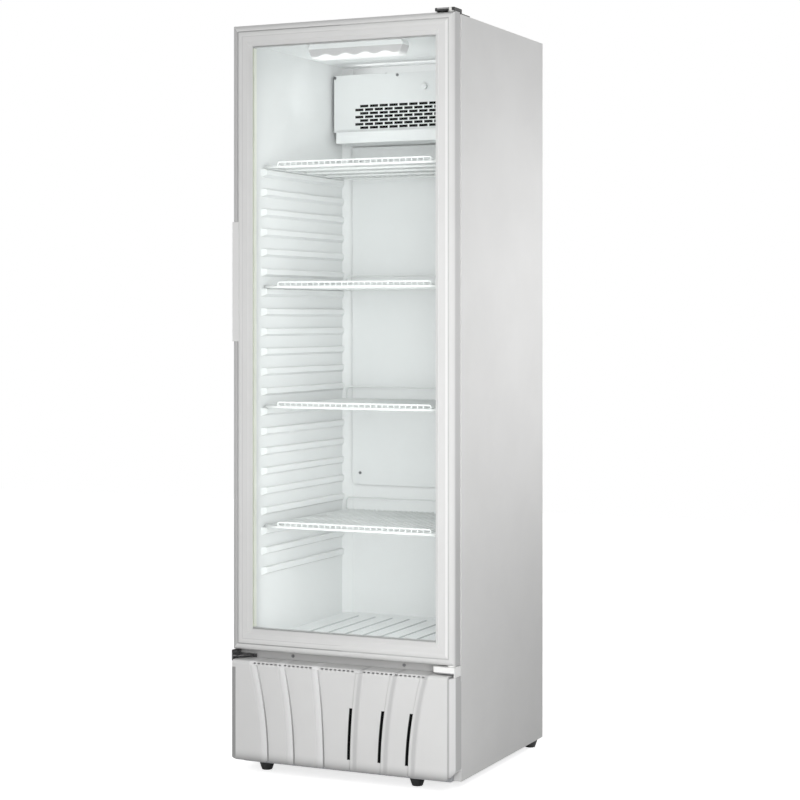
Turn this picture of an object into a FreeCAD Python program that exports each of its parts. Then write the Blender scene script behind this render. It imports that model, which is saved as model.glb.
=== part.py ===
"""Upright display refrigerator with one glass door, built as separate pieces.

Every piece is drawn in cabinet coordinates: X runs across with 0 at the middle,
Y runs from the cabinet's front plane (0) to its back, Z runs up from the cabinet's
underside. The door and the kick panel stand in front of Y = 0. save() moves each
piece into the part's own frame, whose origin is the middle of the footprint on the
floor under the feet. Lengths are in millimetres.
"""
import FreeCAD, Part
import math
import os

# ---------------------------------------------------------------- driving dimensions
# cabinet
cabinet_width = 600.0
cabinet_depth = 551.0
cabinet_height = 1825.0
sheet = 1.0                   # painted steel sheet of the outer panels
liner_sheet = 2.0             # moulded plastic liner
foam_bore_gap = 1.0           # foam and deck to lines and screws
liner_bore_gap = 0.5
side_wall = 42.0              # outside of the cabinet to the inside of the liner
top_wall = 42.0
rear_wall = 38.0
floor_wall = 38.0             # liner floor to the deck over the machine compartment
floor_height = 300.0          # top of the liner floor
liner_corner = 22.0           # legs of the slanting corners at the back of the liner
panel_return = 20.0           # width of the bent edges of the side and top panels
fit_gap = 0.3                 # gap between pieces that can move or are soft

# ribs that carry the shelves
rib_pitch = 50.0
rib_height = 20.0
rib_reach = 12.0              # how far a rib stands out from the liner wall
rib_nose = 4.0                # radius of a rib's upper nose
rib_heel = 6.0                # height of its sloping underside
rib_end_slope = 9.6           # length of its sloping ends
rib_top_drop = 306.0          # upper face of the highest rib below the ceiling
rib_floor_gap = 150.0         # least height of the lowest rib above the floor
rib_front = 32.0              # front end of the ribs, behind the front plane
rib_back_gap = 25.0           # rear end of the ribs, in front of the rear liner
floor_ridge_pitch = 50.0
floor_ridge_width = 22.0
floor_ridge_height = 2.5
floor_ridge_front = 24.0
floor_ridge_back_gap = 58.0
floor_ridge_side_gap = 36.0   # middle of the outermost ridge to the liner's side, at least

# door
door_drop = 19.5              # lower edge of the door below the liner floor
door_rise = 3.4               # upper edge of the door above the cabinet's top
door_thickness = 41.65        # front face of the door to the cabinet's front plane
door_air_gap = 2.0            # rear edge of the door frame to the cabinet
frame_face = 52.5             # width of the frame around the visible glass
frame_wall = 3.0
bead_radius = 12.0            # rounded outer edge of the frame
groove_inset = 15.5           # V groove, from the outer edge
groove_depth = 2.0
groove_lip = 1.0              # width of the groove's outer flank
chamber_corner_share = 0.55   # slanting corner of the outer chamber, share of the bead
chamber_corner_depth = 2.0
mitre_overlap = 8.0           # mitre planes past the frame's inner edge
ridge_inset = 22.5            # soft ridge beside the groove
ridge_half_width = 5.5
ridge_rise = 1.0
bevel_inset = 42.0            # where the bevel down to the glass begins
bevel_depth = 10.0
lip = 1.0                     # thickness of the frame's lip over the glass
rear_edge_radius = 6.0
rear_lip_inset = 50.5
rear_lip = 3.0
pane = 4.0                    # glass thickness
pane_gap = 12.0
spacer_inset = 2.0            # spacer bar, in from the edge of the panes
spacer_width = 10.5
gasket_inset = 14.0           # outer edge of the gasket from the frame's outer edge
gasket_width = 20.0
gasket_dart = 3.4             # thickness of the gasket's barbed foot
gasket_slot = 4.0             # slot in the frame that the foot is pushed into
gasket_slot_depth = 6.0
gasket_wall = 2.0             # side walls of the hollow cushion
gasket_skin = 1.8             # its face and seat
gasket_dart_gap = 1.0         # foot to the bottom of the slot

# handle let into the left stile
handle_rise = 138.55          # middle of the handle above the middle of the door
handle_length = 296.0
handle_width = 18.0
handle_depth = 30.0
grip_depth = 12.0             # finger groove, measured from the side
grip_width = 16.0
grip_front_wall = 8.0
grip_end_wall = 10.0
grip_groove_round = 4.2
handle_edge_round = 1.5

# hinges
hinge_inset = 13.0            # hinge line from the cabinet's right side
hinge_forward = 24.0          # hinge line in front of the cabinet
pin_radius = 5.0
pin_clearance = 0.05
pin_head_radius = 8.0
pin_head_low = 2.4            # head under the lower bracket
pin_head_high = 1.2           # flat head inside the top cover
pin_depth = 20.0              # length of pin inside the door
bush_radius = 9.0
bush_flange_radius = 10.5
bush_flange = 3.0
bush_clearance = 0.1
bush_end = 3.0                # closed end of a bush
bush_hole_gap = 1.0           # bush to the bottom of its hole
bracket_plate = 3.0
bracket_width = 46.0
bracket_side_gap = 2.0        # bracket's outer edge from the cabinet's side
bracket_tail = 58.0           # how far the top bracket runs back on the cabinet
bracket_nose = 40.0           # how far both brackets stand forward
bracket_corner = 8.0
crank_foot = 7.0              # where the top plate turns up, behind the front plane
crank_head = 1.0              # and where it turns forward again
crank_offset = 2.0            # the same two turns on its upper face
top_screw_insets = (38.0, 12.0)   # screws of the top plate, from its rear end
hinge_foot_drop = 24.2        # lower edge of a bracket's foot below its plate
hinge_screw_inner = 8.0       # screws in the foot, from its two ends
hinge_screw_outer = 22.0
cover_height = 8.0
cover_wall = 1.0
cover_clearance = 1.0         # rim of the cover above the door
cover_nose = 1.5              # cover in front of the top plate
cover_tail = 4.0              # its open rear end, behind the front plane
cover_round = 1.2
hinge_block_height = 13.0
hinge_block_nose = 2.0        # block in front of its plate
hinge_block_back_gap = 1.0
hinge_block_round = 3.0
hinge_block_reach = 7.0       # block beyond the inner end of its plate
hinge_block_lobe = 11.0       # how far it hangs down over the plate's outer end
spare_flange_height = 27.0
spare_rise = 2.0              # spare plate above the level of the other lower plate
spare_nose = 4.0              # and in front of its nose
spare_top_gap = 1.5           # its flange to the door
spare_taper = 14.0            # plate cut away from here at its front edge
spare_taper_back = 10.0       # to here at its inner end
screw_radius = 4.0
screw_head = 1.6
screw_shank_radius = 2.0
screw_shank = 5.0

# kick panel
kick_bottom = 12.4
kick_top_drop = 22.8          # top of the panel below the door's lower edge
kick_forward = 60.0
kick_flank_width = 10.0       # width of the sloping flanks, seen from the front
kick_flank_depth = 30.0       # where the sloping flank meets the side
kick_flank_drop = 17.7        # top of the left flank below the top of the panel
kick_right_drop = 5.6         # the same on the right, just under the hinge block's lobe
kick_wall = 2.5
kick_front_thinning = 0.6     # inner corners of the slanting flank, shares of the wall
kick_side_thinning = 0.4
kick_corner = 25.0
kick_top_round = 8.0
kick_back_gap = 6.0           # top flange to the cabinet, clears the hinge feet and screws
band_top_insets = [59.0, 137.0, 228.0]       # middle of each band at the top, from the flank
band_bottom_insets = [91.0, 163.0, 244.0]    # and at the bottom
band_width = 20.0
band_rise = 4.0
band_shoulder = 0.7           # share of the rise halfway down the band's slope
band_edge = 1.0               # chamfer of the band's step
band_curve = 2.0              # how much steeper the bands run near the floor
band_sections = 10
band_crest = 0.3              # share of the band's width that is its flat crest
band_groove = 1.2             # V groove along the foot of each band's step
band_groove_width = 3.0
band_groove_heel = 0.5        # deepest line of the groove to the step
band_groove_overlap = 0.1     # groove's cut in front of the face
cut_overlap = 0.01            # keeps neighbouring cuts off a shared face
scallop_radius = 12.0
scallop_height = 3.5
band_slot_width = 8.0
band_slot_height = 124.5
band_slot_top = 93.5          # below the top of the panel
band_slot_runs = 5
vent_width = 7.0
vent_height = 3.0
vent_pitch = 11.7
vent_count = 7
vent_drop = 4.7               # vents below the top of the panel
crossmember_height = 25.0     # depth of the channel below the machine deck
crossmember_plate = 1.5
crossmember_flange = 30.0
crossmember_top_drop = 12.0   # its front edge ends this far below the liner floor
crossmember_screw_rise = 30.0
crossmember_screw_spread = 151.0

# shelves
shelf_count = 4
shelf_side_gap = 7.0          # border of the shelf to the liner's side
shelf_front = 27.0
shelf_back_gap = 22.0
shelf_rod_radius = 3.0
shelf_wire_radius = 1.5
shelf_wire_margin = 9.0       # outermost wires to the ends of the cross rods
shelf_lip_radius = 2.0        # wire of the lip and of the rear stop
shelf_lip_bend = 5.0
shelf_stop_bend = 10.0
shelf_lip_wire_gap = 8.0      # wires bent up behind the lip stay clear of its ends
shelf_wire_count = 31
shelf_cross_rods = 3
shelf_lip_height = 14.0
shelf_lip_inset = 40.0        # end of the lip from the side of the shelf
shelf_stop_height = 38.0
shelf_corner = 12.0

# lamp
lamp_half_length = 129.0
lamp_depth = 40.0
lamp_middle = 60.0            # behind the front plane
lamp_bottom_drop = 36.0       # underside of the lens below the ceiling
lamp_lens_height = 23.0
lamp_end_slope = 10.0
lamp_wall = 2.0
lamp_rim = 3.0                # upright edge of the housing
board_thickness = 1.6
led_count = 4
led_pitch = 54.0
led_radius = 4.5
led_height = 3.0
led_taper = 0.7

# evaporator and its cover
cover_side_gap = 8.0          # cover to the liner's side
evaporator_depth = 91.0       # front of the cover to the rear liner
evaporator_height = 153.0
cover_top_gap = 30.0          # top of the cover below the ceiling
cover_sheet = 1.2
cover_side_depth = 66.0
slot_rows = 7
slot_pitch = 28.8
slot_length = 23.5
slot_height = 5.3
slot_row_pitch = 9.6
slot_first_rise = 11.0        # lowest row of slots above the cover's lower edge
slot_side_margin = 66.0
cover_screw_drop = 6.0
cover_screw_inner = 61.0
cover_screw_edge = 5.0
coil_side_gap = 60.0          # end of the coil's fins to the side of the cover
coil_wall_gap = 7.0
coil_depth = 24.0
coil_low_gap = 12.0
coil_top_gap = 13.0
coil_stand_inset = 30.0       # stand-off blocks from the ends of the coil
coil_stand_half = 12.0
coil_stand_overlap = 4.0
coil_tube_radius = 4.0
coil_rows = 4
coil_fin_count = 30
coil_groove = 6.0             # depth of the grooves between fins
fin_margin = 8.0              # bare tube between a fin block and its bends
evaporator_fan_x = -95.0
evaporator_fan_rise = 86.0    # its middle above the cover's lower edge
evaporator_fan_radius = 56.0
evaporator_fan_gap = 2.5      # blades to the back of the cover
evaporator_hub_radius = 14.0
evaporator_hub_length = 14.0
evaporator_shaft_length = 16.0
fan_blades = 5
blade_pitch_root = 40.0       # degrees, at the hub
blade_pitch_tip = 25.0        # degrees, at the tip
blade_root_chord = 0.42       # chords as shares of the tip radius
blade_tip_chord = 0.7
blade_half_thickness = 0.012  # share of the tip radius
blade_root_share = 0.7        # blades start inside the hub, share of its radius
hub_nose_share = 0.3
evaporator_motor_length = 22.0
evaporator_motor_radius = 22.0
motor_arm_reach = 66.0
motor_arm_radius = 2.5
motor_arm_bend = 8.0
motor_arm_overlap = 4.0
motor_arm_place = 0.6         # share of the motor's length
evaporator_motor_round = 3.0
evaporator_bore_depth = 12.0
shaft_radius = 3.0
thermostat_body = (32.0, 25.0, 24.0)
knob_x = 19.0
knob_drop = 41.0              # middle of the knob below the top of the cover
knob_radius = 8.0
knob_length = 10.0
knob_stem_radius = 3.0
knob_stem_reach = 12.0        # stem behind the cover
knob_round = 1.2
pointer_half_width = 1.0
pointer_inset = 1.5
tray_side_gap = 22.5
tray_front_reach = 12.0       # how far the tray stands in front of the cover
tray_back_gap = 6.0
tray_height = 30.0
tray_wall = 2.0
tray_hanger_depth = 20.0
tray_hanger_rise = 4.0
drain_radius = 8.0
drain_wall = 1.5
drain_side_gap = 47.0         # drain tube from the side of the tray
drain_wall_depth = 17.0       # middle of the drain tube inside the rear wall
drain_end = 60.0
line_radius = 3.2             # suction and discharge lines
liquid_radius = 2.5           # thin line back to the evaporator
line_bend = 12.0
line_wall_inset = 36.0        # suction line inside the rear foam, from the liner's side
liquid_wall_inset = 18.0
liquid_side_inset = 16.0      # same line beside the condenser, from the cabinet's side
liquid_drop = 10.0            # and below the condenser's top
line_wall_depth = 19.0        # middle of the lines inside the rear wall

# rear baffle inside the cavity
baffle_side_gap = 23.5
baffle_sheet = 2.0
baffle_standoff = 6.0
baffle_floor_gap = 350.0      # lower edge of the panel above the liner floor
baffle_top_gap = 4.0          # upper edge of the panel below the drip tray
baffle_screw_side = 24.0
baffle_screw_low = 32.0
baffle_screw_high = 40.0
baffle_spacer_radius = 6.0
baffle_corner = 14.0

# machine compartment
deck_sheet = 1.0
pan_sheet = 2.0
pan_flange = 24.0
pan_tongue_gap = 0.5          # tongue to the edges of the side panels
pan_front = -16.0             # front of the pan's tongue, which carries the front feet
foot_height = 20.0
foot_top_radius = 19.5
foot_bottom_radius = 12.75
foot_edge_round = 1.5
foot_stud_radius = 5.0
foot_stud_length = 26.0
foot_socket_radius = 11.0
foot_socket_height = 16.0
foot_front_left_inset = 74.0  # middle of each foot from the cabinet's side
foot_front_right_inset = 116.0
foot_rear_inset = 20.0
foot_front_line = 4.0
foot_rear_gap = 39.0          # rear feet from the cabinet's back
compressor_side_gap = 150.0   # its middle from the cabinet's left side
compressor_rear_gap = 151.0   # and from the cabinet's back
compressor_radius = 80.0
compressor_height = 158.0
compressor_shoulder = 42.0    # radius between its wall and its two ends
compressor_stand = 14.0
compressor_plate = 3.0
compressor_port_height = 100.0
compressor_seam_share = 0.52  # height of the weld seam
compressor_seam = 3.0         # half its height, and how far it stands out
compressor_plate_corner = 12.0
compressor_port_wall = 0.8
compressor_port = 8.0         # length of the stubs that the lines are brazed to
mount_spread = 72.0
mount_radius = 13.0
mount_depth_share = 0.8       # depth of the foot plate over its width
mount_depth_inset = 4.0
grommet_groove = 3.0
grommet_groove_low = 5.0
grommet_groove_high = 9.0
terminal_half_width = 22.0    # cover over the compressor's terminals
terminal_reach = 14.0
terminal_low = 40.0
terminal_high = 84.0
condenser_side_gap = 50.0
condenser_length = 300.0
condenser_front = 66.0
condenser_depth = 44.0
condenser_top_gap = 48.0      # below the machine deck
condenser_fin_count = 24
condenser_groove = 14.0
condenser_tube_radius = 4.5
condenser_rows = 5
fan_front_gap = 2.6           # blade tips to the condenser
shroud_sheet = 1.5
condenser_fan_margin = 22.0   # blade tips to the edge of the condenser
condenser_hub_radius = 22.0
condenser_hub_length = 20.0
fan_tip_gap = 5.0
motor_length = 46.0
motor_radius = 32.0
motor_gap = 8.0               # shroud to the front of the motor
motor_round = 4.0
motor_bore_depth = 13.0
motor_shaft_overlap = 2.0
motor_rod_inset = 12.0        # rods to the front of the motor
motor_rod_overlap = 6.0
motor_rod_margin = 8.0        # rods outside the ring
discharge_gap = 35.0          # discharge line beside the condenser
water_tray_side_gap = 100.0   # tray to the compressor
water_tray_box_gap = 2.0      # tray to the junction box
water_tray_depth = 242.0
water_tray_back_gap = 7.0
water_tray_corner = 14.0
water_tray_height = 40.0
grille_slot_length = 150.0
grille_slot_height = 8.0
grille_slot_pitch = 20.0
grille_slot_gap = 20.0        # between the ends of two slots
grille_first_slot = 80.0      # lowest row above the cabinet's underside
grille_margin = 30.0          # slots to the edges of the plate, at least
grille_sheet = 1.0
junction_side_gap = 62.0      # its middle from the cabinet's right side
junction_width = 44.0
junction_depth = 40.0
junction_height = 64.0
junction_corner = 3.0
gland_height_share = 0.7
gland_radius = 9.0
gland_bore = 4.2
gland_length = 18.0

# ---------------------------------------------------------------- derived places


def blade_reach(tip_radius):
    """How far a blade stands in front of the middle of its hub, at its tip."""
    return tip_radius * blade_tip_chord / 2 * math.sin(math.radians(blade_pitch_tip))


half_width = cabinet_width / 2
inside = half_width - side_wall             # inner face of the liner's sides
ceiling = cabinet_height - top_wall
cavity_back = cabinet_depth - rear_wall
deck_level = floor_height - floor_wall
liner_outside = inside + liner_sheet
rear_skin = cabinet_depth - 2 * sheet       # front face of the rear panel
frame_back = door_thickness - door_air_gap  # door frame's rear edge, behind its front face
glass_front = bevel_depth + lip
glass_back = glass_front + 2 * pane + pane_gap
gasket_seat = glass_back + rear_lip
hinge_x = half_width - hinge_inset
pan_top = pan_sheet

rib_top_level = ceiling - rib_top_drop
rib_count = int((rib_top_level - floor_height - rib_floor_gap) // rib_pitch) + 1
rib_back = cavity_back - rib_back_gap
floor_ridge_count = 2 * int((inside - floor_ridge_side_gap) // floor_ridge_pitch) + 1
floor_ridge_back = cavity_back - floor_ridge_back_gap
shelf_pitch_ribs = (rib_count - 1) // (shelf_count - 1)
shelf_half_width = inside - shelf_side_gap
shelf_back = cavity_back - shelf_back_gap
shelf_lip_half_width = shelf_half_width - shelf_lip_inset

door_bottom = floor_height - door_drop
door_top = cabinet_height + door_rise
handle_bottom = (door_bottom + door_top - handle_length) / 2 + handle_rise
crossmember_bottom = deck_level - crossmember_height
crossmember_top = floor_height - crossmember_top_drop
crossmember_screw_height = crossmember_bottom + crossmember_screw_rise
kick_top = door_bottom - kick_top_drop
kick_flank_top = kick_top - kick_flank_drop
kick_right_top = kick_top - kick_right_drop
kick_half_front = half_width - kick_flank_width
band_tops = [kick_half_front - inset for inset in band_top_insets]
band_bottoms = [kick_half_front - inset for inset in band_bottom_insets]

cover_half_width = inside - cover_side_gap
cover_face = cavity_back - evaporator_depth
cover_top = ceiling - cover_top_gap
cover_bottom = cover_top - evaporator_height
cover_screw_height = cover_top - cover_screw_drop
cover_screw_places = [cover_screw_inner, cover_half_width - cover_screw_edge]
slot_first_row = cover_bottom + slot_first_rise
slot_half_span = cover_half_width - slot_side_margin
coil_half_length = cover_half_width - coil_side_gap
coil_back = cavity_back - coil_wall_gap
coil_front = coil_back - coil_depth
coil_bottom = cover_bottom + coil_low_gap
coil_top = cover_top - coil_top_gap
evaporator_fan_z = cover_bottom + evaporator_fan_rise
knob_z = cover_top - knob_drop
tray_half_width = inside - tray_side_gap
tray_front = cover_face - tray_front_reach
tray_back = cavity_back - tray_back_gap
drain_x = tray_half_width - drain_side_gap
drain_y = cavity_back + drain_wall_depth
line_wall_x = line_wall_inset - inside
liquid_wall_x = liquid_wall_inset - inside
line_wall_y = cavity_back + line_wall_depth
baffle_half_width = inside - baffle_side_gap
baffle_bottom = floor_height + baffle_floor_gap
baffle_top = cover_bottom - tray_height - baffle_top_gap

foot_rear_line = cabinet_depth - foot_rear_gap
foot_places = {
    "foot_front_left": (foot_front_left_inset - half_width, foot_front_line),
    "foot_front_right": (half_width - foot_front_right_inset, foot_front_line),
    "foot_rear_left": (foot_rear_inset - half_width, foot_rear_line),
    "foot_rear_right": (half_width - foot_rear_inset, foot_rear_line),
}
compressor_x = compressor_side_gap - half_width
compressor_y = cabinet_depth - compressor_rear_gap
condenser_left = condenser_side_gap - half_width
condenser_right = condenser_left + condenser_length
condenser_top = deck_level - condenser_top_gap
condenser_fan_radius = (condenser_top - pan_top) / 2 - condenser_fan_margin
shroud_depth = 2 * (blade_reach(condenser_fan_radius) + fan_front_gap)
discharge_x = condenser_right + discharge_gap
junction_x = half_width - junction_side_gap
water_tray_left = compressor_x + compressor_radius + water_tray_side_gap
water_tray_right = junction_x - junction_width / 2 - water_tray_box_gap
water_tray_back = rear_skin - water_tray_back_gap
water_tray_front = water_tray_back - water_tray_depth
grille_slot_rows = int((deck_level - grille_first_slot - grille_margin) // grille_slot_pitch) + 1
grille_slot_columns = int((cabinet_width - 2 * grille_margin + grille_slot_gap)
                          // (grille_slot_length + grille_slot_gap))
shift_y = (kick_forward + band_rise - cabinet_depth) / 2

# ---------------------------------------------------------------- helpers


def vec(x, y, z):
    return FreeCAD.Vector(x, y, z)


def save(name, shape):
    """Write one piece, moved from cabinet coordinates into the part's frame."""
    moved = shape.copy()
    moved.translate(vec(0, shift_y, foot_height))
    moved.exportStep(os.path.join("parts", name + ".step"))


def box(x0, x1, y0, y1, z0, z1):
    return Part.makeBox(x1 - x0, y1 - y0, z1 - z0, vec(x0, y0, z0))


def rod(radius, start, end):
    """Round bar from one point to another."""
    along = end - start
    return Part.makeCylinder(radius, along.Length, start, along)


def prism(points, direction):
    """Closed outline of points pushed along a direction."""
    return Part.Face(Part.makePolygon(points + [points[0]])).extrude(direction)


def prism_xz(outline, y0, y1):
    return prism([vec(x, y0, z) for x, z in outline], vec(0, y1 - y0, 0))


def prism_yz(outline, x0, x1):
    return prism([vec(x0, y, z) for y, z in outline], vec(x1 - x0, 0, 0))


def prism_xy(outline, z0, z1):
    return prism([vec(x, y, z0) for x, y in outline], vec(0, 0, z1 - z0))


def mirrored(shape):
    """The same piece on the other side of the middle plane."""
    return shape.mirror(vec(0, 0, 0), vec(1, 0, 0))


def upright_fillet(shape, radius, keep=lambda edge: True):
    """Round the vertical edges that keep() picks."""
    edges = [e for e in shape.Edges
             if len(e.Vertexes) == 2
             and abs(e.Vertexes[0].X - e.Vertexes[1].X) < 1e-6
             and abs(e.Vertexes[0].Y - e.Vertexes[1].Y) < 1e-6
             and keep(e)]
    return shape.makeFillet(radius, edges)


def bent_tube(points, radius, bend):
    """Solid round tube along straight runs joined by tangent arcs of one bend radius."""
    edges = []
    start = points[0]
    for before, corner, after in zip(points, points[1:], points[2:]):
        back = (before - corner).normalize()
        on = (after - corner).normalize()
        half = back.getAngle(on) / 2
        reach = bend / math.tan(half)
        first = corner + back * reach
        last = corner + on * reach
        inward = (back + on).normalize()
        middle = corner + inward * (bend / math.sin(half) - bend)
        edges.append(Part.LineSegment(start, first).toShape())
        edges.append(Part.Arc(first, middle, last).toShape())
        start = last
    edges.append(Part.LineSegment(start, points[-1]).toShape())
    section = Part.Wire(Part.Circle(points[0], points[1] - points[0], radius).toShape())
    return Part.Wire(edges).makePipe(Part.Face(section))


def six_sided_bar(points, radius):
    """Thin wire with a six-sided section along points that lie in one YZ plane."""
    offsets = []
    for i, here in enumerate(points):
        back = (here - points[i - 1]).normalize() if i else None
        on = (points[i + 1] - here).normalize() if i + 1 < len(points) else None
        along = back if on is None else on if back is None else (back + on).normalize()
        stretch = 1.0 if back is None or on is None else 1 / math.cos(back.getAngle(on) / 2)
        normal = vec(0, -along.z, along.y) * stretch
        ring = []
        for corner in range(6):
            turn = math.radians(60 * corner)
            ring.append(here + vec(radius * math.cos(turn), 0, 0) + normal * (radius * math.sin(turn)))
        offsets.append(Part.makePolygon(ring + [ring[0]]))
    return Part.makeLoft(offsets, True, True)


def fan(hub_radius, tip_radius, hub_length, shaft_length):
    """Axial impeller about +Y: hub with a domed nose at -Y, twisted blades, shaft towards +Y."""
    wheel = rod(hub_radius, vec(0, -hub_length / 2, 0), vec(0, hub_length / 2, 0))
    nose = [e for e in wheel.Edges if e.CenterOfMass.y < 0 and len(e.Vertexes) == 1]
    wheel = wheel.makeFillet(hub_length * hub_nose_share, nose)
    root_radius = hub_radius * blade_root_share
    for k in range(fan_blades):
        sections = []
        for share in (0.0, 0.5, 1.0):
            radius = root_radius + (tip_radius - root_radius) * share
            pitch = math.radians(blade_pitch_root + (blade_pitch_tip - blade_pitch_root) * share)
            chord = tip_radius * (blade_root_chord + (blade_tip_chord - blade_root_chord) * share)
            along = vec(math.cos(pitch), math.sin(pitch), 0) * (chord / 2)
            across = vec(-math.sin(pitch), math.cos(pitch), 0) * (tip_radius * blade_half_thickness)
            middle = vec(0, 0, radius)
            ring = [middle + along + across, middle - along + across,
                    middle - along - across, middle + along - across]
            sections.append(Part.makePolygon(ring + [ring[0]]))
        blade = Part.makeLoft(sections, True, True)
        blade.rotate(vec(0, 0, 0), vec(0, 1, 0), 360.0 * k / fan_blades)
        wheel = wheel.fuse(blade)
    shaft = rod(shaft_radius, vec(0, 0, 0), vec(0, hub_length / 2 + shaft_length, 0))
    return wheel.fuse(shaft).removeSplitter()


def fin_pack(x0, x1, y0, y1, z0, z1, fins, groove, rows, tube_radius):
    """Block of fins, grooved on both faces, with tube ends and return bends at its two sides."""
    middle_y = (y0 + y1) / 2
    step = (z1 - z0) / rows
    levels = [z0 + step * (row + 0.5) for row in range(rows)]
    pack = box(x0 + fin_margin, x1 - fin_margin, y0, y1, z0, z1)
    pitch = (x1 - x0 - 2 * fin_margin) / fins
    grooves = []
    for i in range(fins - 1):
        x = x0 + fin_margin + pitch * (i + 1)
        for face, inward in ((y0, 1), (y1, -1)):
            grooves.append(box(x - pitch / 3, x + pitch / 3, min(face - inward, face + groove * inward),
                               max(face - inward, face + groove * inward), z0 - 1, z1 + 1))
    pack = pack.cut(Part.makeCompound(grooves))
    for level in levels:
        for end, inward in ((x0, 1), (x1, -1)):
            root = vec(end + inward * (fin_margin + 1), middle_y, level)
            stub = rod(tube_radius, vec(end, middle_y, level), root)
            pack = pack.fuse(stub)
    for i, (low, high) in enumerate(zip(levels, levels[1:])):
        end, outward = (x1, 1) if i % 2 == 0 else (x0, -1)
        circle = Part.Circle(vec(end, middle_y, low), vec(1, 0, 0), tube_radius)
        ring = Part.Face(Part.Wire(circle.toShape()))
        bend = ring.revolve(vec(end, middle_y, (low + high) / 2), vec(0, -outward, 0), 180)
        pack = pack.fuse(bend)
    return pack.removeSplitter()


def screw_along_y(x, y, z):
    """Screw whose head lies on a face at y and whose shank goes back from it."""
    head = rod(screw_radius, vec(x, y - screw_head, z), vec(x, y, z))
    return head.fuse(rod(screw_shank_radius, vec(x, y, z), vec(x, y + screw_shank, z)))


def screw_hole_y(x, y, z):
    return rod(screw_shank_radius + bush_clearance, vec(x, y - 1, z), vec(x, y + screw_shank + 1, z))


# ---------------------------------------------------------------- cabinet


def side_panel():
    """Left side: one sheet with its front and rear edges bent inwards."""
    left = -half_width
    panel = box(left, left + sheet, 0, cabinet_depth, 0, cabinet_height)
    front = box(left, left + panel_return, 0, sheet, 0, cabinet_height - sheet)
    rear = box(left, left + panel_return, cabinet_depth - sheet, cabinet_depth, 0, cabinet_height - sheet)
    return panel.fuse([front, rear]).removeSplitter()


def top_panel():
    edge = half_width - sheet
    plate = box(-edge, edge, 0, cabinet_depth, cabinet_height - sheet, cabinet_height)
    reach = half_width - panel_return
    low = cabinet_height - panel_return
    front = box(-reach, reach, 0, sheet, low, cabinet_height - sheet)
    rear = box(-reach, reach, cabinet_depth - sheet, cabinet_depth, low, cabinet_height - sheet)
    panel = plate.fuse([front, rear]).removeSplitter()
    return panel.cut(top_screw_holes(bush_clearance))


def rear_panel():
    edge = half_width - sheet
    return box(-edge, edge, rear_skin, rear_skin + sheet, deck_level - deck_sheet, cabinet_height - sheet)


def machine_deck():
    """Sheet between the foam and the machine compartment."""
    edge = half_width - sheet
    deck = box(-edge, edge, crossmember_plate, rear_skin, deck_level - deck_sheet, deck_level)
    return deck.cut(line_bores(foam_bore_gap))


def liner_hollow(grow, z0, z1, y0=0.0):
    """Plan of the cavity, grown outwards, with its two slanting rear corners."""
    side = inside + grow
    back = cavity_back + grow
    leg = liner_corner + grow * (2 - math.sqrt(2))
    return prism_xy([(-side, y0), (side, y0), (side, back - leg), (side - leg, back),
                     (leg - side, back), (-side, back - leg)], z0, z1)


def line_bores(grow):
    """Room in the foam, deck and rear liner for the drain tube and the two lines."""
    drain = bent_tube(drain_route(), drain_radius + grow, line_bend)
    suction = bent_tube(suction_route(), line_radius + grow, line_bend)
    liquid = bent_tube(liquid_route(), liquid_radius + grow, line_bend)
    return Part.makeCompound([drain, suction, liquid])


def insulation_foam():
    edge = half_width - sheet
    block = box(-edge, edge, liner_sheet, rear_skin, deck_level, cabinet_height - sheet)
    top = ceiling + liner_sheet
    foam = block.cut(liner_hollow(liner_sheet, floor_height - liner_sheet, top))
    for side in (-1, 1):
        foam = foam.cut(screw_hole_y(side * crossmember_screw_spread, 0, crossmember_screw_height))
    return foam.cut(line_bores(foam_bore_gap)).cut(top_screw_holes(foam_bore_gap))


def rib(level):
    """Shelf rib on the left wall: flat top, rounded nose, sloping ends."""
    wall = -inside
    tip = wall + rib_reach
    low = level - rib_height
    nose = tip - rib_nose
    root = wall - liner_sheet / 2
    quarter = rib_nose * (1 - math.sqrt(0.5))
    outline = [
        Part.LineSegment(vec(root, 0, level), vec(nose, 0, level)),
        Part.Arc(vec(nose, 0, level), vec(tip - quarter, 0, level - quarter),
                 vec(tip, 0, level - rib_nose)),
        Part.LineSegment(vec(tip, 0, level - rib_nose), vec(tip, 0, low + rib_heel)),
        Part.LineSegment(vec(tip, 0, low + rib_heel), vec(wall, 0, low)),
        Part.LineSegment(vec(wall, 0, low), vec(root, 0, low)),
        Part.LineSegment(vec(root, 0, low), vec(root, 0, level)),
    ]
    face = Part.Face(Part.Wire([g.toShape() for g in outline]))
    bar = face.extrude(vec(0, rib_back - rib_front, 0))
    bar.translate(vec(0, rib_front, 0))
    front = rib_front + rib_end_slope
    back = rib_back - rib_end_slope
    ends = prism_xy([(root - 1, rib_front), (wall, rib_front), (tip, front), (tip + 1, front),
                     (tip + 1, back), (tip, back), (wall, rib_back), (root - 1, rib_back)],
                    low - 1, level + 1)
    return bar.common(ends)


def liner_side():
    """Left liner wall with its front flange and the shelf ribs."""
    back = cavity_back - liner_corner
    wall = box(-liner_outside, -inside, 0, back, floor_height, ceiling)
    flange = box(-half_width + panel_return, -inside, 0, liner_sheet, floor_height, ceiling)
    ribs = [rib(rib_top_level - rib_pitch * i) for i in range(rib_count)]
    return wall.fuse([flange] + ribs).removeSplitter()


def liner_back():
    shell = liner_hollow(liner_sheet, floor_height, ceiling)
    shell = shell.cut(liner_hollow(0.0, floor_height - 1, ceiling + 1, -1.0))
    front = box(-half_width, half_width, -1, cavity_back - liner_corner, floor_height - 1, ceiling + 1)
    shell = shell.cut(front)
    shell = shell.cut(line_bores(liner_bore_gap))
    for x, z in baffle_screw_places():
        shell = shell.cut(screw_hole_y(x, cavity_back, z))
    return shell


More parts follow.
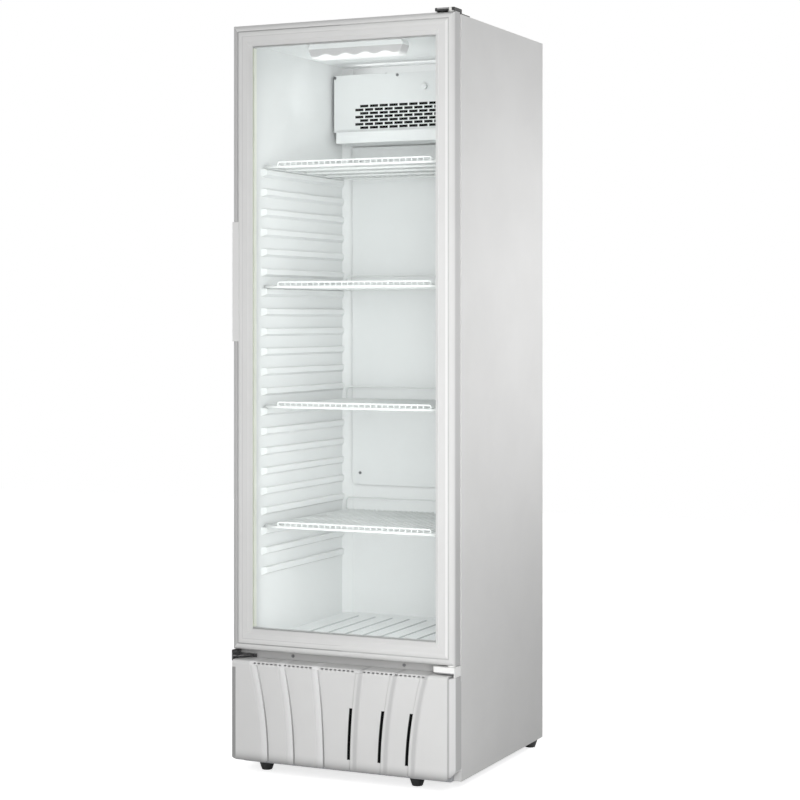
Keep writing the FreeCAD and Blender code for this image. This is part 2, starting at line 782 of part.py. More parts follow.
def liner_ceiling():
    plate = liner_hollow(liner_sheet, ceiling, ceiling + liner_sheet)
    flange = box(-half_width + panel_return, half_width - panel_return, 0, liner_sheet,
                 ceiling, cabinet_height - panel_return)
    return plate.fuse(flange).removeSplitter()


def liner_floor():
    """Floor with shallow ridges running front to back and a flange at the front."""
    plate = liner_hollow(liner_sheet, floor_height - liner_sheet, floor_height)
    flange = box(-half_width + panel_return, half_width - panel_return, 0, liner_sheet,
                 crossmember_top, floor_height)
    ridges = []
    first = -floor_ridge_pitch * (floor_ridge_count - 1) / 2
    for i in range(floor_ridge_count):
        x = first + floor_ridge_pitch * i
        half = floor_ridge_width / 2
        top = floor_height + floor_ridge_height
        outline = [(x - half, floor_height - 0.5), (x + half, floor_height - 0.5), (x + half, floor_height),
                   (x + half - floor_ridge_height, top), (x - half + floor_ridge_height, top),
                   (x - half, floor_height)]
        ridges.append(prism_xz(outline, floor_ridge_front, floor_ridge_back))
    return plate.fuse([flange] + ridges).removeSplitter()


def baffle_screw_places():
    edge = baffle_half_width - baffle_screw_side
    levels = (baffle_bottom + baffle_screw_low, baffle_top - baffle_screw_high)
    return [(x, z) for z in levels for x in (-edge, edge)]


def back_baffle():
    """Flat panel in front of the rear wall, on four spacers, lower corners rounded."""
    front = cavity_back - baffle_standoff - baffle_sheet
    edge = baffle_half_width
    plate = box(-edge, edge, front, front + baffle_sheet, baffle_bottom, baffle_top)
    lower = [e for e in plate.Edges
             if abs(e.Length - baffle_sheet) < 1e-6 and e.Vertexes[0].Z < baffle_bottom + 1]
    plate = plate.makeFillet(baffle_corner, lower)
    for x, z in baffle_screw_places():
        spacer = rod(baffle_spacer_radius, vec(x, front + baffle_sheet, z), vec(x, cavity_back, z))
        plate = plate.fuse(spacer)
        plate = plate.cut(screw_hole_y(x, front, z))
    return plate.removeSplitter()


def front_crossmember():
    """Channel across the front between the side panels, its upper edge in front of the foam."""
    edge = half_width - panel_return
    face = box(-half_width + sheet, half_width - sheet, sheet, crossmember_plate + sheet,
               crossmember_bottom, deck_level - deck_sheet)
    lower = box(-half_width + sheet, half_width - sheet, sheet, crossmember_flange,
                crossmember_bottom, crossmember_bottom + crossmember_plate)
    filler = box(-edge, edge, 0, sheet, crossmember_bottom, deck_level)
    upper = box(-edge, edge, 0, crossmember_plate, deck_level - deck_sheet, deck_level)
    foam_edge = box(-edge, edge, 0, liner_sheet, deck_level, crossmember_top)
    channel = face.fuse([lower, filler, upper, foam_edge])
    for side in (-1, 1):
        channel = channel.cut(screw_hole_y(side * crossmember_screw_spread, 0, crossmember_screw_height))
        for x, z in hinge_screw_places():
            channel = channel.cut(screw_hole_y(side * x, -bracket_plate, z))
    return channel.removeSplitter()


def pan_plan(inset):
    """Plan of the base pan: full width behind the front edges, a narrower tongue in front."""
    edge = half_width - sheet - inset
    tongue = half_width - panel_return - pan_tongue_gap - inset
    front = pan_front + inset
    back = rear_skin - inset
    shoulder = sheet + inset
    return [(-edge, shoulder), (-tongue, shoulder), (-tongue, front), (tongue, front),
            (tongue, shoulder), (edge, shoulder), (edge, back), (-edge, back)]


def base_pan():
    """Tray under the machine compartment, with threaded sockets for the feet."""
    pan = prism_xy(pan_plan(0.0), 0, pan_flange)
    pan = pan.cut(prism_xy(pan_plan(pan_sheet), pan_sheet, pan_flange + 1))
    for x, y in foot_places.values():
        socket = rod(foot_socket_radius, vec(x, y, 0), vec(x, y, foot_socket_height))
        pan = pan.fuse(socket)
    for x, y in foot_places.values():
        pan = pan.cut(rod(foot_stud_radius + fit_gap, vec(x, y, -1), vec(x, y, foot_stud_length + 1)))
    return pan.removeSplitter()


def foot(x, y):
    """Tapered levelling foot on a stud that goes up into the pan's socket."""
    sole = vec(x, y, -foot_height)
    cone = Part.makeCone(foot_bottom_radius, foot_top_radius, foot_height - fit_gap, sole)
    cone = cone.makeFillet(foot_edge_round, [e for e in cone.Edges if e.CenterOfMass.z < -foot_height + 0.1
                                 and len(e.Vertexes) == 1])
    stud = rod(foot_stud_radius, vec(x, y, -fit_gap - 1), vec(x, y, foot_stud_length))
    return cone.fuse(stud).removeSplitter()


# ---------------------------------------------------------------- kick panel


def kick_plan(inset):
    """Plan outline of the kick panel, moved inwards by the wall."""
    side = half_width - inset
    front = -kick_forward + inset
    shoulder = kick_half_front - inset * kick_front_thinning
    return [(-side, 0), (-side, -kick_flank_depth + inset * kick_side_thinning), (-shoulder, front),
            (shoulder, front), (side, -kick_flank_depth + inset * kick_side_thinning), (side, 0)]


def kick_outline():
    """Front outline: stepped upper corners, round lower corners, scallops under the bands."""
    shape = box(-half_width, half_width, -kick_forward - band_rise - 1, 1, kick_bottom, kick_top)
    depth = kick_forward + band_rise + 2
    corners = [e for e in shape.Edges
               if abs(e.Length - depth) < 1e-6 and e.Vertexes[0].Z < kick_bottom + 1]
    shape = shape.makeFillet(kick_corner, corners)
    front = -kick_forward - band_rise - 2
    shape = shape.cut(box(kick_half_front, half_width + 1, front, 2, kick_right_top, kick_top + 1))
    shape = shape.cut(box(-half_width - 1, -kick_half_front, front, 2, kick_flank_top, kick_top + 1))
    for side in (-1, 1):
        for bottom in band_bottoms:
            notch = side * (bottom - band_width / 2)
            centre = vec(notch, front, kick_bottom + scallop_height - scallop_radius)
            shape = shape.cut(rod(scallop_radius, centre, centre + vec(0, 2 - front, 0)))
    return shape


def band_centre(top, bottom, share):
    """Middle of a band at a share of the height: steeper towards the floor."""
    return bottom + (top - bottom) * share ** band_curve


def band(top, bottom, z0, z1):
    """Raised band on the right: flush at its outer edge, stepped at its inner edge."""
    sections = []
    for i in range(band_sections):
        share = i / (band_sections - 1)
        z = z0 + (z1 - z0) * share
        middle = band_centre(top, bottom, share)
        inner = middle - band_width / 2
        outer = middle + band_width / 2
        face = -kick_forward
        crest = inner + band_width * band_crest
        ring = [vec(inner, face + 1, z), vec(outer, face + 1, z), vec(outer, face, z),
                vec((crest + outer) / 2, face - band_rise * band_shoulder, z),
                vec(crest, face - band_rise, z),
                vec(inner + band_edge, face - band_rise, z),
                vec(inner, face - band_rise + band_edge, z)]
        sections.append(Part.makePolygon(ring + [ring[0]]))
    return Part.makeLoft(sections, True, True)


def kick_flank_closure(top, back):
    """Top ledge of the right-hand flank at a level, and the cheek between it and the panel's top."""
    front = -kick_forward + kick_wall / 2
    ledge = prism_xy(kick_plan(kick_wall / 2), top - kick_wall, top)
    ledge = ledge.common(box(kick_half_front, half_width, -kick_forward, back, 0, kick_top))
    cheek = box(kick_half_front - kick_wall, kick_half_front, front, -kick_back_gap,
                top - kick_wall, kick_top - kick_top_round / 2)
    return ledge.fuse(cheek)


def kick_panel():
    body = prism_xy(kick_plan(0.0), kick_bottom, kick_top)
    edge = [e for e in body.Edges
            if abs(e.CenterOfMass.y + kick_forward) < 1e-6 and abs(e.CenterOfMass.z - kick_top) < 1e-6]
    body = body.makeFillet(kick_top_round, edge)
    hollow = prism_xy(kick_plan(kick_wall), kick_bottom - 1, kick_top - kick_wall)
    hollow_edge = [e for e in hollow.Edges
                   if abs(e.CenterOfMass.y + kick_forward - kick_wall) < 1e-6
                   and abs(e.CenterOfMass.z - kick_top + kick_wall) < 1e-6]
    hollow = hollow.makeFillet(kick_top_round - kick_wall, hollow_edge)
    side = half_width - kick_wall
    hollow = hollow.fuse(box(-side, side, -1, 1, kick_bottom - 1, kick_top + 1))
    panel = body.cut(hollow)
    panel = panel.cut(box(-half_width, half_width, -kick_back_gap, 1, kick_flank_top, kick_top + 1))
    panel = panel.fuse([kick_flank_closure(kick_right_top, -kick_back_gap),
                        mirrored(kick_flank_closure(kick_flank_top, 0))])
    band_top = kick_top - kick_top_round
    for top, bottom in zip(band_tops, band_bottoms):
        raised = band(top, bottom, kick_bottom, band_top)
        panel = panel.fuse([raised, mirrored(raised)])
    panel = panel.common(kick_outline())
    cuts = []
    for top, bottom in zip(band_tops, band_bottoms):
        groove = band_foot_groove(top, bottom)
        cuts += [groove, mirrored(groove), band_slot(top, bottom)]
    cuts += kick_vents()
    return panel.cut(Part.makeCompound(cuts)).removeSplitter()


def band_foot_groove(top, bottom):
    """V groove in the panel along the foot of a right-hand band's step."""
    low = kick_bottom - 1
    high = kick_top - kick_top_round
    face = -kick_forward
    sections = []
    for i in range(band_sections):
        share = i / (band_sections - 1)
        z = low + (high - low) * share
        foot = band_centre(top, bottom, share) - band_width / 2
        near = foot - cut_overlap
        ring = [vec(foot - band_groove_width, face - band_groove_overlap, z),
                vec(near, face - band_groove_overlap, z),
                vec(near, face + band_groove / 2, z),
                vec(foot - band_groove_heel, face + band_groove, z)]
        sections.append(Part.makePolygon(ring + [ring[0]]))
    return Part.makeLoft(sections, True, True)


def band_slot(top, bottom):
    """Air slot along the inner edge of a right-hand band."""
    height = kick_top - kick_top_round - kick_bottom
    outline = []
    for i in range(band_slot_runs + 1):
        z = kick_top - band_slot_top - band_slot_height * i / band_slot_runs
        x = band_centre(top, bottom, (z - kick_bottom) / height) - band_width / 2
        outline.append((x, z))
    ring = [(x - band_slot_width, z) for x, z in outline]
    ring += [(x - cut_overlap, z) for x, z in reversed(outline)]
    return prism_xz(ring, -kick_forward - 1, -kick_forward + kick_wall + 1)


def kick_vents():
    """Four groups of short air vents under the top edge, between the bands."""
    level = kick_top - vent_drop
    middles = [-(band_tops[1] + band_tops[2]) / 2, (band_tops[1] + band_tops[2]) / 2,
               -(band_tops[0] + band_tops[1]) / 2, (band_tops[0] + band_tops[1]) / 2, 0.0]
    vents = []
    for middle in middles:
        count = vent_count if middle else vent_count + 1
        for i in range(count):
            x = middle + vent_pitch * (i - (count - 1) / 2)
            vents.append(box(x - vent_width / 2, x + vent_width / 2, -kick_forward - 1,
                             -kick_forward + kick_top_round,
                             level - vent_height / 2, level + vent_height / 2))
    return vents


# ---------------------------------------------------------------- door


def frame_section():
    """Outline of the frame as (d, e): d inwards from the outer edge, e back from the front face."""
    quarter = bead_radius * (1 - math.sqrt(0.5))
    rear_quarter = rear_edge_radius * (1 - math.sqrt(0.5))
    slot_middle = gasket_inset + gasket_width / 2
    slot_a = slot_middle - gasket_slot / 2
    slot_b = slot_middle + gasket_slot / 2
    ridge_a = ridge_inset - ridge_half_width
    ridge_b = ridge_inset + ridge_half_width
    return [
        ("arc", (0, bead_radius), (quarter, quarter), (bead_radius, 0)),
        ("line", (bead_radius, 0), (groove_inset - groove_lip, 0)),
        ("line", (groove_inset - groove_lip, 0), (groove_inset, groove_depth)),
        ("line", (groove_inset, groove_depth), (ridge_a, ridge_rise)),
        ("arc", (ridge_a, ridge_rise), (ridge_inset, 0), (ridge_b, ridge_rise)),
        ("line", (ridge_b, ridge_rise), (bevel_inset, ridge_rise)),
        ("line", (bevel_inset, ridge_rise), (frame_face, bevel_depth)),
        ("line", (frame_face, bevel_depth), (frame_face, glass_front)),
        ("line", (frame_face, glass_front), (bevel_inset, glass_front)),
        ("line", (bevel_inset, glass_front), (bevel_inset, glass_back)),
        ("line", (bevel_inset, glass_back), (rear_lip_inset, glass_back)),
        ("line", (rear_lip_inset, glass_back), (rear_lip_inset, gasket_seat)),
        ("line", (rear_lip_inset, gasket_seat), (slot_b, gasket_seat)),
        ("line", (slot_b, gasket_seat), (slot_b, gasket_seat - gasket_slot_depth)),
        ("line", (slot_b, gasket_seat - gasket_slot_depth), (slot_a, gasket_seat - gasket_slot_depth)),
        ("line", (slot_a, gasket_seat - gasket_slot_depth), (slot_a, gasket_seat)),
        ("line", (slot_a, gasket_seat), (rear_edge_radius + frame_wall, gasket_seat)),
        ("line", (rear_edge_radius + frame_wall, gasket_seat), (rear_edge_radius + frame_wall, frame_back)),
        ("line", (rear_edge_radius + frame_wall, frame_back), (rear_edge_radius, frame_back)),
        ("arc", (rear_edge_radius, frame_back), (rear_quarter, frame_back - rear_quarter),
         (0, frame_back - rear_edge_radius)),
        ("line", (0, frame_back - rear_edge_radius), (0, bead_radius)),
    ]


def frame_chambers():
    """Two hollow chambers of the extrusion, on both sides of the web that holds the gasket."""
    slot_middle = gasket_inset + gasket_width / 2
    web_a = slot_middle - gasket_slot / 2 - frame_wall
    web_b = slot_middle + gasket_slot / 2 + frame_wall
    front = ridge_rise + frame_wall
    back = gasket_seat - frame_wall
    outer = [(frame_wall, bead_radius),
             (bead_radius * chamber_corner_share, front + chamber_corner_depth), (bead_radius, front),
             (web_a, front), (web_a, back), (frame_wall, back)]
    side = bevel_inset - frame_wall
    inner = [(web_b, front), (side, front), (side, back), (web_b, back)]
    return outer, inner


def place_section(d, e, across, up):
    """Point of the section on the left stile (across) or on the bottom rail (up)."""
    if across:
        return vec(-half_width + d, e - door_thickness, 0)
    return vec(0, e - door_thickness, door_bottom + d)


def frame_bar(across, start, length):
    """One straight run of the frame extrusion, before its mitres are cut."""
    edges = []
    for kind, *points in frame_section():
        spots = [place_section(d, e, across, not across) for d, e in points]
        curve = Part.Arc(*spots) if kind == "arc" else Part.LineSegment(*spots)
        edges.append(curve.toShape())
    push = vec(0, 0, length) if across else vec(length, 0, 0)
    bar = Part.Face(Part.Wire(edges)).extrude(push)
    for chamber in frame_chambers():
        ring = [place_section(d, e, across, not across) for d, e in chamber]
        bar = bar.cut(prism(ring, push))
    bar.translate(start)
    return bar


def mitre(corners):
    return prism_xz(corners, -door_thickness - 1, 1)


def door_stile():
    """Left stile between its two mitres."""
    height = door_top - door_bottom
    reach = frame_face + mitre_overlap
    bar = frame_bar(True, vec(0, 0, door_bottom), height)
    left = -half_width
    keep = mitre([(left, door_bottom), (left + reach, door_bottom + reach),
                  (left + reach, door_top - reach), (left, door_top)])
    return bar.common(keep)


def door_rail():
    """Bottom rail between its two mitres."""
    reach = frame_face + mitre_overlap
    bar = frame_bar(False, vec(-half_width, 0, 0), cabinet_width)
    keep = mitre([(-half_width, door_bottom), (half_width, door_bottom),
                  (half_width - reach, door_bottom + reach), (-half_width + reach, door_bottom + reach)])
    return bar.common(keep)


def door_top_rail():
    rail = door_rail()
    middle = (door_top + door_bottom) / 2
    return rail.mirror(vec(0, 0, middle), vec(0, 0, 1))


def bush_holes():
    """Room for the two hinge bushes in the door frame."""
    radius = bush_radius + bush_clearance
    depth = pin_depth + bush_end + bush_hole_gap
    low = rod(radius, hinge_point(door_bottom - 1), hinge_point(door_bottom + depth))
    high = rod(radius, hinge_point(door_top - depth), hinge_point(door_top + 1))
    return low.fuse(high)


def handle_block(grow):
    left = -half_width
    return box(left, left + handle_width + grow, -door_thickness, -door_thickness + handle_depth + grow,
               handle_bottom - grow, handle_bottom + handle_length + grow)


def door_handle():
    """Moulded grip flush with the frame, with a finger groove in its outer side."""
    grip = handle_block(0.0)
    left = -half_width
    front = -door_thickness + grip_front_wall
    groove = box(left - 1, left + grip_depth, front, front + grip_width,
                 handle_bottom + grip_end_wall, handle_bottom + handle_length - grip_end_wall)
    inner = [e for e in groove.Edges if abs(e.CenterOfMass.x - left - grip_depth) < 1e-6]
    groove = groove.makeFillet(grip_groove_round, inner)
    grip = grip.cut(groove)
    corner = [e for e in grip.Edges if abs(e.CenterOfMass.x - left) < 1e-6
              and abs(e.CenterOfMass.y + door_thickness) < 1e-6]
    return grip.makeFillet(handle_edge_round, corner)


def glass_ring(inset, width, e0, e1):
    """Rectangular ring of a given width, its outer edge inset from the door's edge."""
    left = -half_width + inset
    outer = box(left, -left, e0 - door_thickness, e1 - door_thickness,
                door_bottom + inset, door_top - inset)
    left += width
    inner = box(left, -left, e0 - door_thickness - 1, e1 - door_thickness + 1,
                door_bottom + inset + width, door_top - inset - width)
    return outer.cut(inner)


def glass_pane(e0):
    edge = half_width - bevel_inset
    return box(-edge, edge, e0 - door_thickness, e0 + pane - door_thickness,
               door_bottom + bevel_inset, door_top - bevel_inset)


def door_gasket():
    """Magnetic seal: hollow cushion with a foot pressed into the frame's slot."""
    seat = gasket_seat
    face = door_thickness - fit_gap
    ring = glass_ring(gasket_inset, gasket_width, seat, face)
    hollow = glass_ring(gasket_inset + gasket_wall, gasket_width - 2 * gasket_wall,
                        seat + gasket_skin, face - gasket_skin)
    dart_inset = gasket_inset + (gasket_width - gasket_dart) / 2
    dart = glass_ring(dart_inset, gasket_dart,
                      seat - gasket_slot_depth + gasket_dart_gap, seat)
    return ring.cut(hollow).fuse(dart).removeSplitter()


def door_bushes():
    """Two flanged bearing bushes, one in each end of the door's hinge side."""
    def bush(level, flange_thickness):
        body = rod(bush_radius, hinge_point(level), hinge_point(level + pin_depth + bush_end))
        flange = rod(bush_flange_radius, hinge_point(level - flange_thickness), hinge_point(level))
        bore = pin_bore(level - flange_thickness - 1, level + pin_depth + 1)
        return body.fuse(flange).cut(bore).removeSplitter()
    lower = bush(door_bottom, door_bottom - block_top() - fit_gap)
    upper = bush(door_bottom, bush_flange).mirror(vec(0, 0, (door_top + door_bottom) / 2), vec(0, 0, 1))
    return Part.makeCompound([lower, upper])


# ---------------------------------------------------------------- hinges


def hinge_point(z):
    """Point on the door's hinge line."""
    return vec(hinge_x, -hinge_forward, z)


def pin_bore(z0, z1):
    """Hole that a hinge pin runs in."""
    return rod(pin_radius + pin_clearance, hinge_point(z0), hinge_point(z1))


def plate_top():
    """Upper face of the lower hinge plate."""
    return block_top() - hinge_block_height


def block_top():
    return door_bottom - bush_flange - fit_gap


def top_plate_bottom():
    """Underside of the top bracket where it reaches over the door."""
    return door_top + bush_flange + fit_gap


def bracket_span():
    right = half_width - bracket_side_gap
    return right - bracket_width, right


def top_screw_x():
    left, right = bracket_span()
    return (left + right) / 2


def top_screw_places():
    return [bracket_tail - inset for inset in top_screw_insets]


def top_screw_holes(clearance):
    radius = screw_shank_radius + clearance
    low = cabinet_height - screw_shank - sheet
    high = cabinet_height + bracket_plate + 1
    holes = [rod(radius, vec(top_screw_x(), y, low), vec(top_screw_x(), y, high))
             for y in top_screw_places()]
    return Part.makeCompound(holes)


def top_hinge_bracket():
    """Cranked plate screwed to the cabinet's top, reaching forward over the door."""
    left, right = bracket_span()
    low = cabinet_height
    high = top_plate_bottom()
    outline = [(bracket_tail, low), (bracket_tail, low + bracket_plate),
               (crank_foot + crank_offset, low + bracket_plate),
               (crank_head + crank_offset, high + bracket_plate),
               (-bracket_nose, high + bracket_plate), (-bracket_nose, high),
               (crank_head, high), (crank_foot, low)]
    plate = prism_yz(outline, left, right)
    plate = plate.cut(pin_bore(high - 1, high + bracket_plate + 1))
    return plate.cut(top_screw_holes(bush_clearance))


def top_hinge_cover():
    """Cap over the front of the top bracket, its rim just above the door."""
    left, right = bracket_span()
    wall = bracket_side_gap
    low = door_top + cover_clearance
    shell = box(left - wall, right + wall, -bracket_nose - cover_nose, cover_tail, low, low + cover_height)
    rim = [e for e in shell.Edges if abs(e.CenterOfMass.z - low - cover_height) < 1e-6]
    shell = shell.makeFillet(cover_round, rim)
    room = box(left, right, -bracket_nose, cover_tail + 1, low - 1, low + cover_height - cover_wall)
    return shell.cut(room)


def bottom_hinge_bracket():
    """Angle plate under the door: a foot screwed to the crossmember and a shelf for the pin."""
    left, right = bracket_span()
    top = plate_top()
    shelf = box(left, right, -bracket_nose, 0, top - bracket_plate, top)
    shelf = shelf.makeFillet(bracket_corner, [e for e in shelf.Edges
                                              if abs(e.Length - bracket_plate) < 1e-6
                                              and e.Vertexes[0].Y < -bracket_nose + 1])
    foot_plate = box(left, right, -bracket_plate, 0, top - hinge_foot_drop, top)
    bracket = shelf.fuse(foot_plate)
    bracket = bracket.cut(pin_bore(top - 10, top + 1))
    for x, z in hinge_screw_places():
        bracket = bracket.cut(screw_hole_y(x, -bracket_plate, z))
    return bracket.removeSplitter()


def hinge_screw_places():
    """Screws through the foot of the right-hand bracket."""
    left, right = bracket_span()
    level = plate_top() - (hinge_foot_drop + bracket_plate) / 2
    return [(left + hinge_screw_inner, level), (right - hinge_screw_outer, level)]


def bottom_hinge_block():
    """Plastic bearing block on the lower plate, wrapping its outer edge."""
    left, right = bracket_span()
    low = plate_top()
    top = block_top()
    inner = left - hinge_block_reach
    front = -bracket_nose - hinge_block_nose
    back = -bracket_plate - hinge_block_back_gap
    block = box(inner, half_width, front, back, low, top)
    lobe = box(right + fit_gap, half_width, front, back, low - hinge_block_lobe, low + 1)
    block = block.fuse(lobe)
    nose = [e for e in block.Edges if abs(e.Vertexes[0].X - e.Vertexes[-1].X) < 1e-6
            and abs(e.Vertexes[0].Y - e.Vertexes[-1].Y) < 1e-6 and e.Vertexes[0].Y < -bracket_nose
            and e.Vertexes[0].X < inner + 1]
    block = block.makeFillet(hinge_block_round, nose)
    return block.cut(pin_bore(low - 10, top + 1)).removeSplitter()


def spare_hinge_bracket():
    """Unused lower bracket at the left, ready for hanging the door the other way round."""
    left, right = bracket_span()
    top = plate_top() + spare_rise
    front = -bracket_nose - spare_nose
    shelf = box(left, right, front, 0, top - bracket_plate, top)
    taper = prism_xy([(left - 1, front - 1), (right - spare_taper, front - 1),
                      (left - 1, -spare_taper_back)],
                     top - bracket_plate - 1, top + 1)
    shelf = shelf.cut(taper)
    side_top = door_bottom - spare_top_gap
    side = box(half_width - bracket_plate, half_width, front, 0, side_top - spare_flange_height, side_top)
    join = box(right - bracket_plate, half_width, front, 0, top - bracket_plate, top)
    back = box(left, right, -bracket_plate, 0, plate_top() - hinge_foot_drop, top)
    bracket = shelf.fuse([side, join, back])
    bracket = bracket.cut(pin_bore(top - 10, top + 1))
    for x, z in hinge_screw_places():
        bracket = bracket.cut(screw_hole_y(x, -bracket_plate, z))
    return mirrored(bracket.removeSplitter())


def hinge_pins():
    """Two headed pins, one dropped through each bracket into the door's bushes."""
    under = plate_top() - bracket_plate
    lower = rod(pin_radius, hinge_point(under - 1), hinge_point(door_bottom + pin_depth))
    lower = lower.fuse(rod(pin_head_radius, hinge_point(under - pin_head_low), hinge_point(under)))
    over = top_plate_bottom() + bracket_plate
    upper = rod(pin_radius, hinge_point(door_top - pin_depth), hinge_point(over + 1))
    upper = upper.fuse(rod(pin_head_radius, hinge_point(over), hinge_point(over + pin_head_high)))
    return Part.makeCompound([lower.removeSplitter(), upper.removeSplitter()])


def screws():
    """All small screws: brackets, crossmember, evaporator cover and rear baffle."""
    pieces = []
    for x, z in hinge_screw_places():
        pieces.append(screw_along_y(x, -bracket_plate, z))
        pieces.append(screw_along_y(-x, -bracket_plate, z))
    for side in (-1, 1):
        pieces.append(screw_along_y(side * crossmember_screw_spread, 0, crossmember_screw_height))
        for x in cover_screw_places:
            pieces.append(screw_along_y(side * x, cover_face, cover_screw_height))
    baffle_front = cavity_back - baffle_standoff - baffle_sheet
    for x, z in baffle_screw_places():
        pieces.append(screw_along_y(x, baffle_front, z))
    for y in top_screw_places():
        top = cabinet_height + bracket_plate
        head = rod(screw_radius, vec(top_screw_x(), y, top), vec(top_screw_x(), y, top + screw_head))
        pieces.append(head.fuse(rod(screw_shank_radius, vec(top_screw_x(), y, top - screw_shank),
                                    vec(top_screw_x(), y, top))))
    return Part.makeCompound([p.removeSplitter() for p in pieces])


# ---------------------------------------------------------------- shelves


def shelf_level(index):
    """Height of a shelf's rod centres above the cabinet's underside."""
    return rib_top_level - rib_pitch * shelf_pitch_ribs * index + fit_gap + shelf_rod_radius


def shelf_border():
    """Closed loop of thick wire with rounded corners."""
    side = shelf_half_width - shelf_rod_radius
    front = shelf_front + shelf_rod_radius
    back = shelf_back - shelf_rod_radius
    bend = shelf_corner
    slack = bend * (1 - math.sqrt(0.5))
    corners = [(side, front, -1, 1), (side, back, -1, -1), (-side, back, 1, -1), (-side, front, 1, 1)]
    edges = []
    for i, (x, y, in_x, in_y) in enumerate(corners):
        along_y = vec(x, y + in_y * bend, 0)
        along_x = vec(x + in_x * bend, y, 0)
        middle = vec(x + in_x * slack, y + in_y * slack, 0)
        first, last = (along_x, along_y) if i % 2 == 0 else (along_y, along_x)
        edges.append(Part.Arc(first, middle, last).toShape())
        next_x, next_y, next_in_x, next_in_y = corners[(i + 1) % 4]
        if i % 2 == 0:
            start_next = vec(next_x, next_y + next_in_y * bend, 0)
        else:
            start_next = vec(next_x + next_in_x * bend, next_y, 0)
        edges.append(Part.LineSegment(last, start_next).toShape())
    path = Part.Wire(edges)
    start = path.Edges[0].Vertexes[0].Point
    section = Part.Wire(Part.Circle(start, vec(1, 0, 0), shelf_rod_radius).toShape())
    return path.makePipe(Part.Face(section))


def shelf():
    """Welded wire shelf: border, cross rods, front-to-back wires, front lip and rear stop."""
    side = shelf_half_width - 2 * shelf_rod_radius
    front = shelf_front + shelf_rod_radius
    back = shelf_back - shelf_rod_radius
    pieces = [shelf_border()]
    for i in range(shelf_cross_rods):
        y = front + (back - front) * (i + 1) / (shelf_cross_rods + 1)
        pieces.append(rod(shelf_rod_radius, vec(-side, y, 0), vec(side, y, 0)))
    lip_radius = shelf_lip_radius
    lip_level = shelf_lip_height - lip_radius
    deck = shelf_rod_radius + shelf_wire_radius * math.cos(math.radians(30))
    pitch = 2 * (side - shelf_wire_margin) / (shelf_wire_count - 1)
    for i in range(shelf_wire_count):
        x = pitch * (i - (shelf_wire_count - 1) / 2)
        route = [vec(x, back, deck), vec(x, front, deck)]
        if abs(x) < shelf_lip_half_width - shelf_lip_wire_gap:
            route.append(vec(x, front, lip_level - lip_radius))
        pieces.append(six_sided_bar(route, shelf_wire_radius))
    half = shelf_lip_half_width - lip_radius
    lip = [vec(-half, front, shelf_rod_radius), vec(-half, front, lip_level),
           vec(half, front, lip_level), vec(half, front, shelf_rod_radius)]
    pieces.append(bent_tube(lip, lip_radius, shelf_lip_bend))
    half = side - shelf_wire_radius * 2
    stop_level = shelf_stop_height - lip_radius
    stop = [vec(-half, back, shelf_rod_radius), vec(-half, back, stop_level),
            vec(half, back, stop_level), vec(half, back, shelf_rod_radius)]
    pieces.append(bent_tube(stop, lip_radius, shelf_stop_bend))
    return Part.makeCompound(pieces)


# ---------------------------------------------------------------- lamp


def lamp_outline(inset, low, high):
    """Front view of the lamp between two heights: its ends slope inwards to the bottom."""
    bottom = ceiling - lamp_bottom_drop
    top = bottom + lamp_lens_height

    def half(z):
        return lamp_half_length - lamp_end_slope * (top - z) / lamp_lens_height - inset
    return [(-half(low), low), (half(low), low), (half(high), high), (-half(high), high)]


def lamp_lens():
    """Clear cover, open towards the housing."""
    low = ceiling - lamp_bottom_drop
    high = low + lamp_lens_height
    front = lamp_middle - lamp_depth / 2
    back = lamp_middle + lamp_depth / 2
    lens = prism_xz(lamp_outline(0.0, low, high), front, back)
    room = prism_xz(lamp_outline(lamp_wall, low + lamp_wall, high + 1), front + lamp_wall, back - lamp_wall)
    return lens.cut(room)


def lamp_housing():
    """Fitting screwed to the ceiling above the lens."""
    low = ceiling - lamp_bottom_drop + lamp_lens_height
    half = lamp_half_length - lamp_end_slope / 2
    front = lamp_middle - lamp_depth / 2
    outline = [(-lamp_half_length, low), (lamp_half_length, low), (lamp_half_length, low + lamp_rim),
               (half, ceiling), (-half, ceiling), (-lamp_half_length, low + lamp_rim)]
    return prism_xz(outline, front, front + lamp_depth)


def lamp_board():
    """Circuit board with its light-emitting diodes, under the housing."""
    top = ceiling - lamp_bottom_drop + lamp_lens_height
    half = lamp_half_length - lamp_end_slope - lamp_wall
    board = box(-half, half, lamp_middle - lamp_depth / 3, lamp_middle + lamp_depth / 3,
                top - board_thickness, top)
    led_low = top - board_thickness - led_height
    for i in range(led_count):
        x = led_pitch * (i - (led_count - 1) / 2)
        led = Part.makeCone(led_radius * led_taper, led_radius, led_height, vec(x, lamp_middle, led_low))
        board = board.fuse(led)
    return board.removeSplitter()


# ---------------------------------------------------------------- evaporator


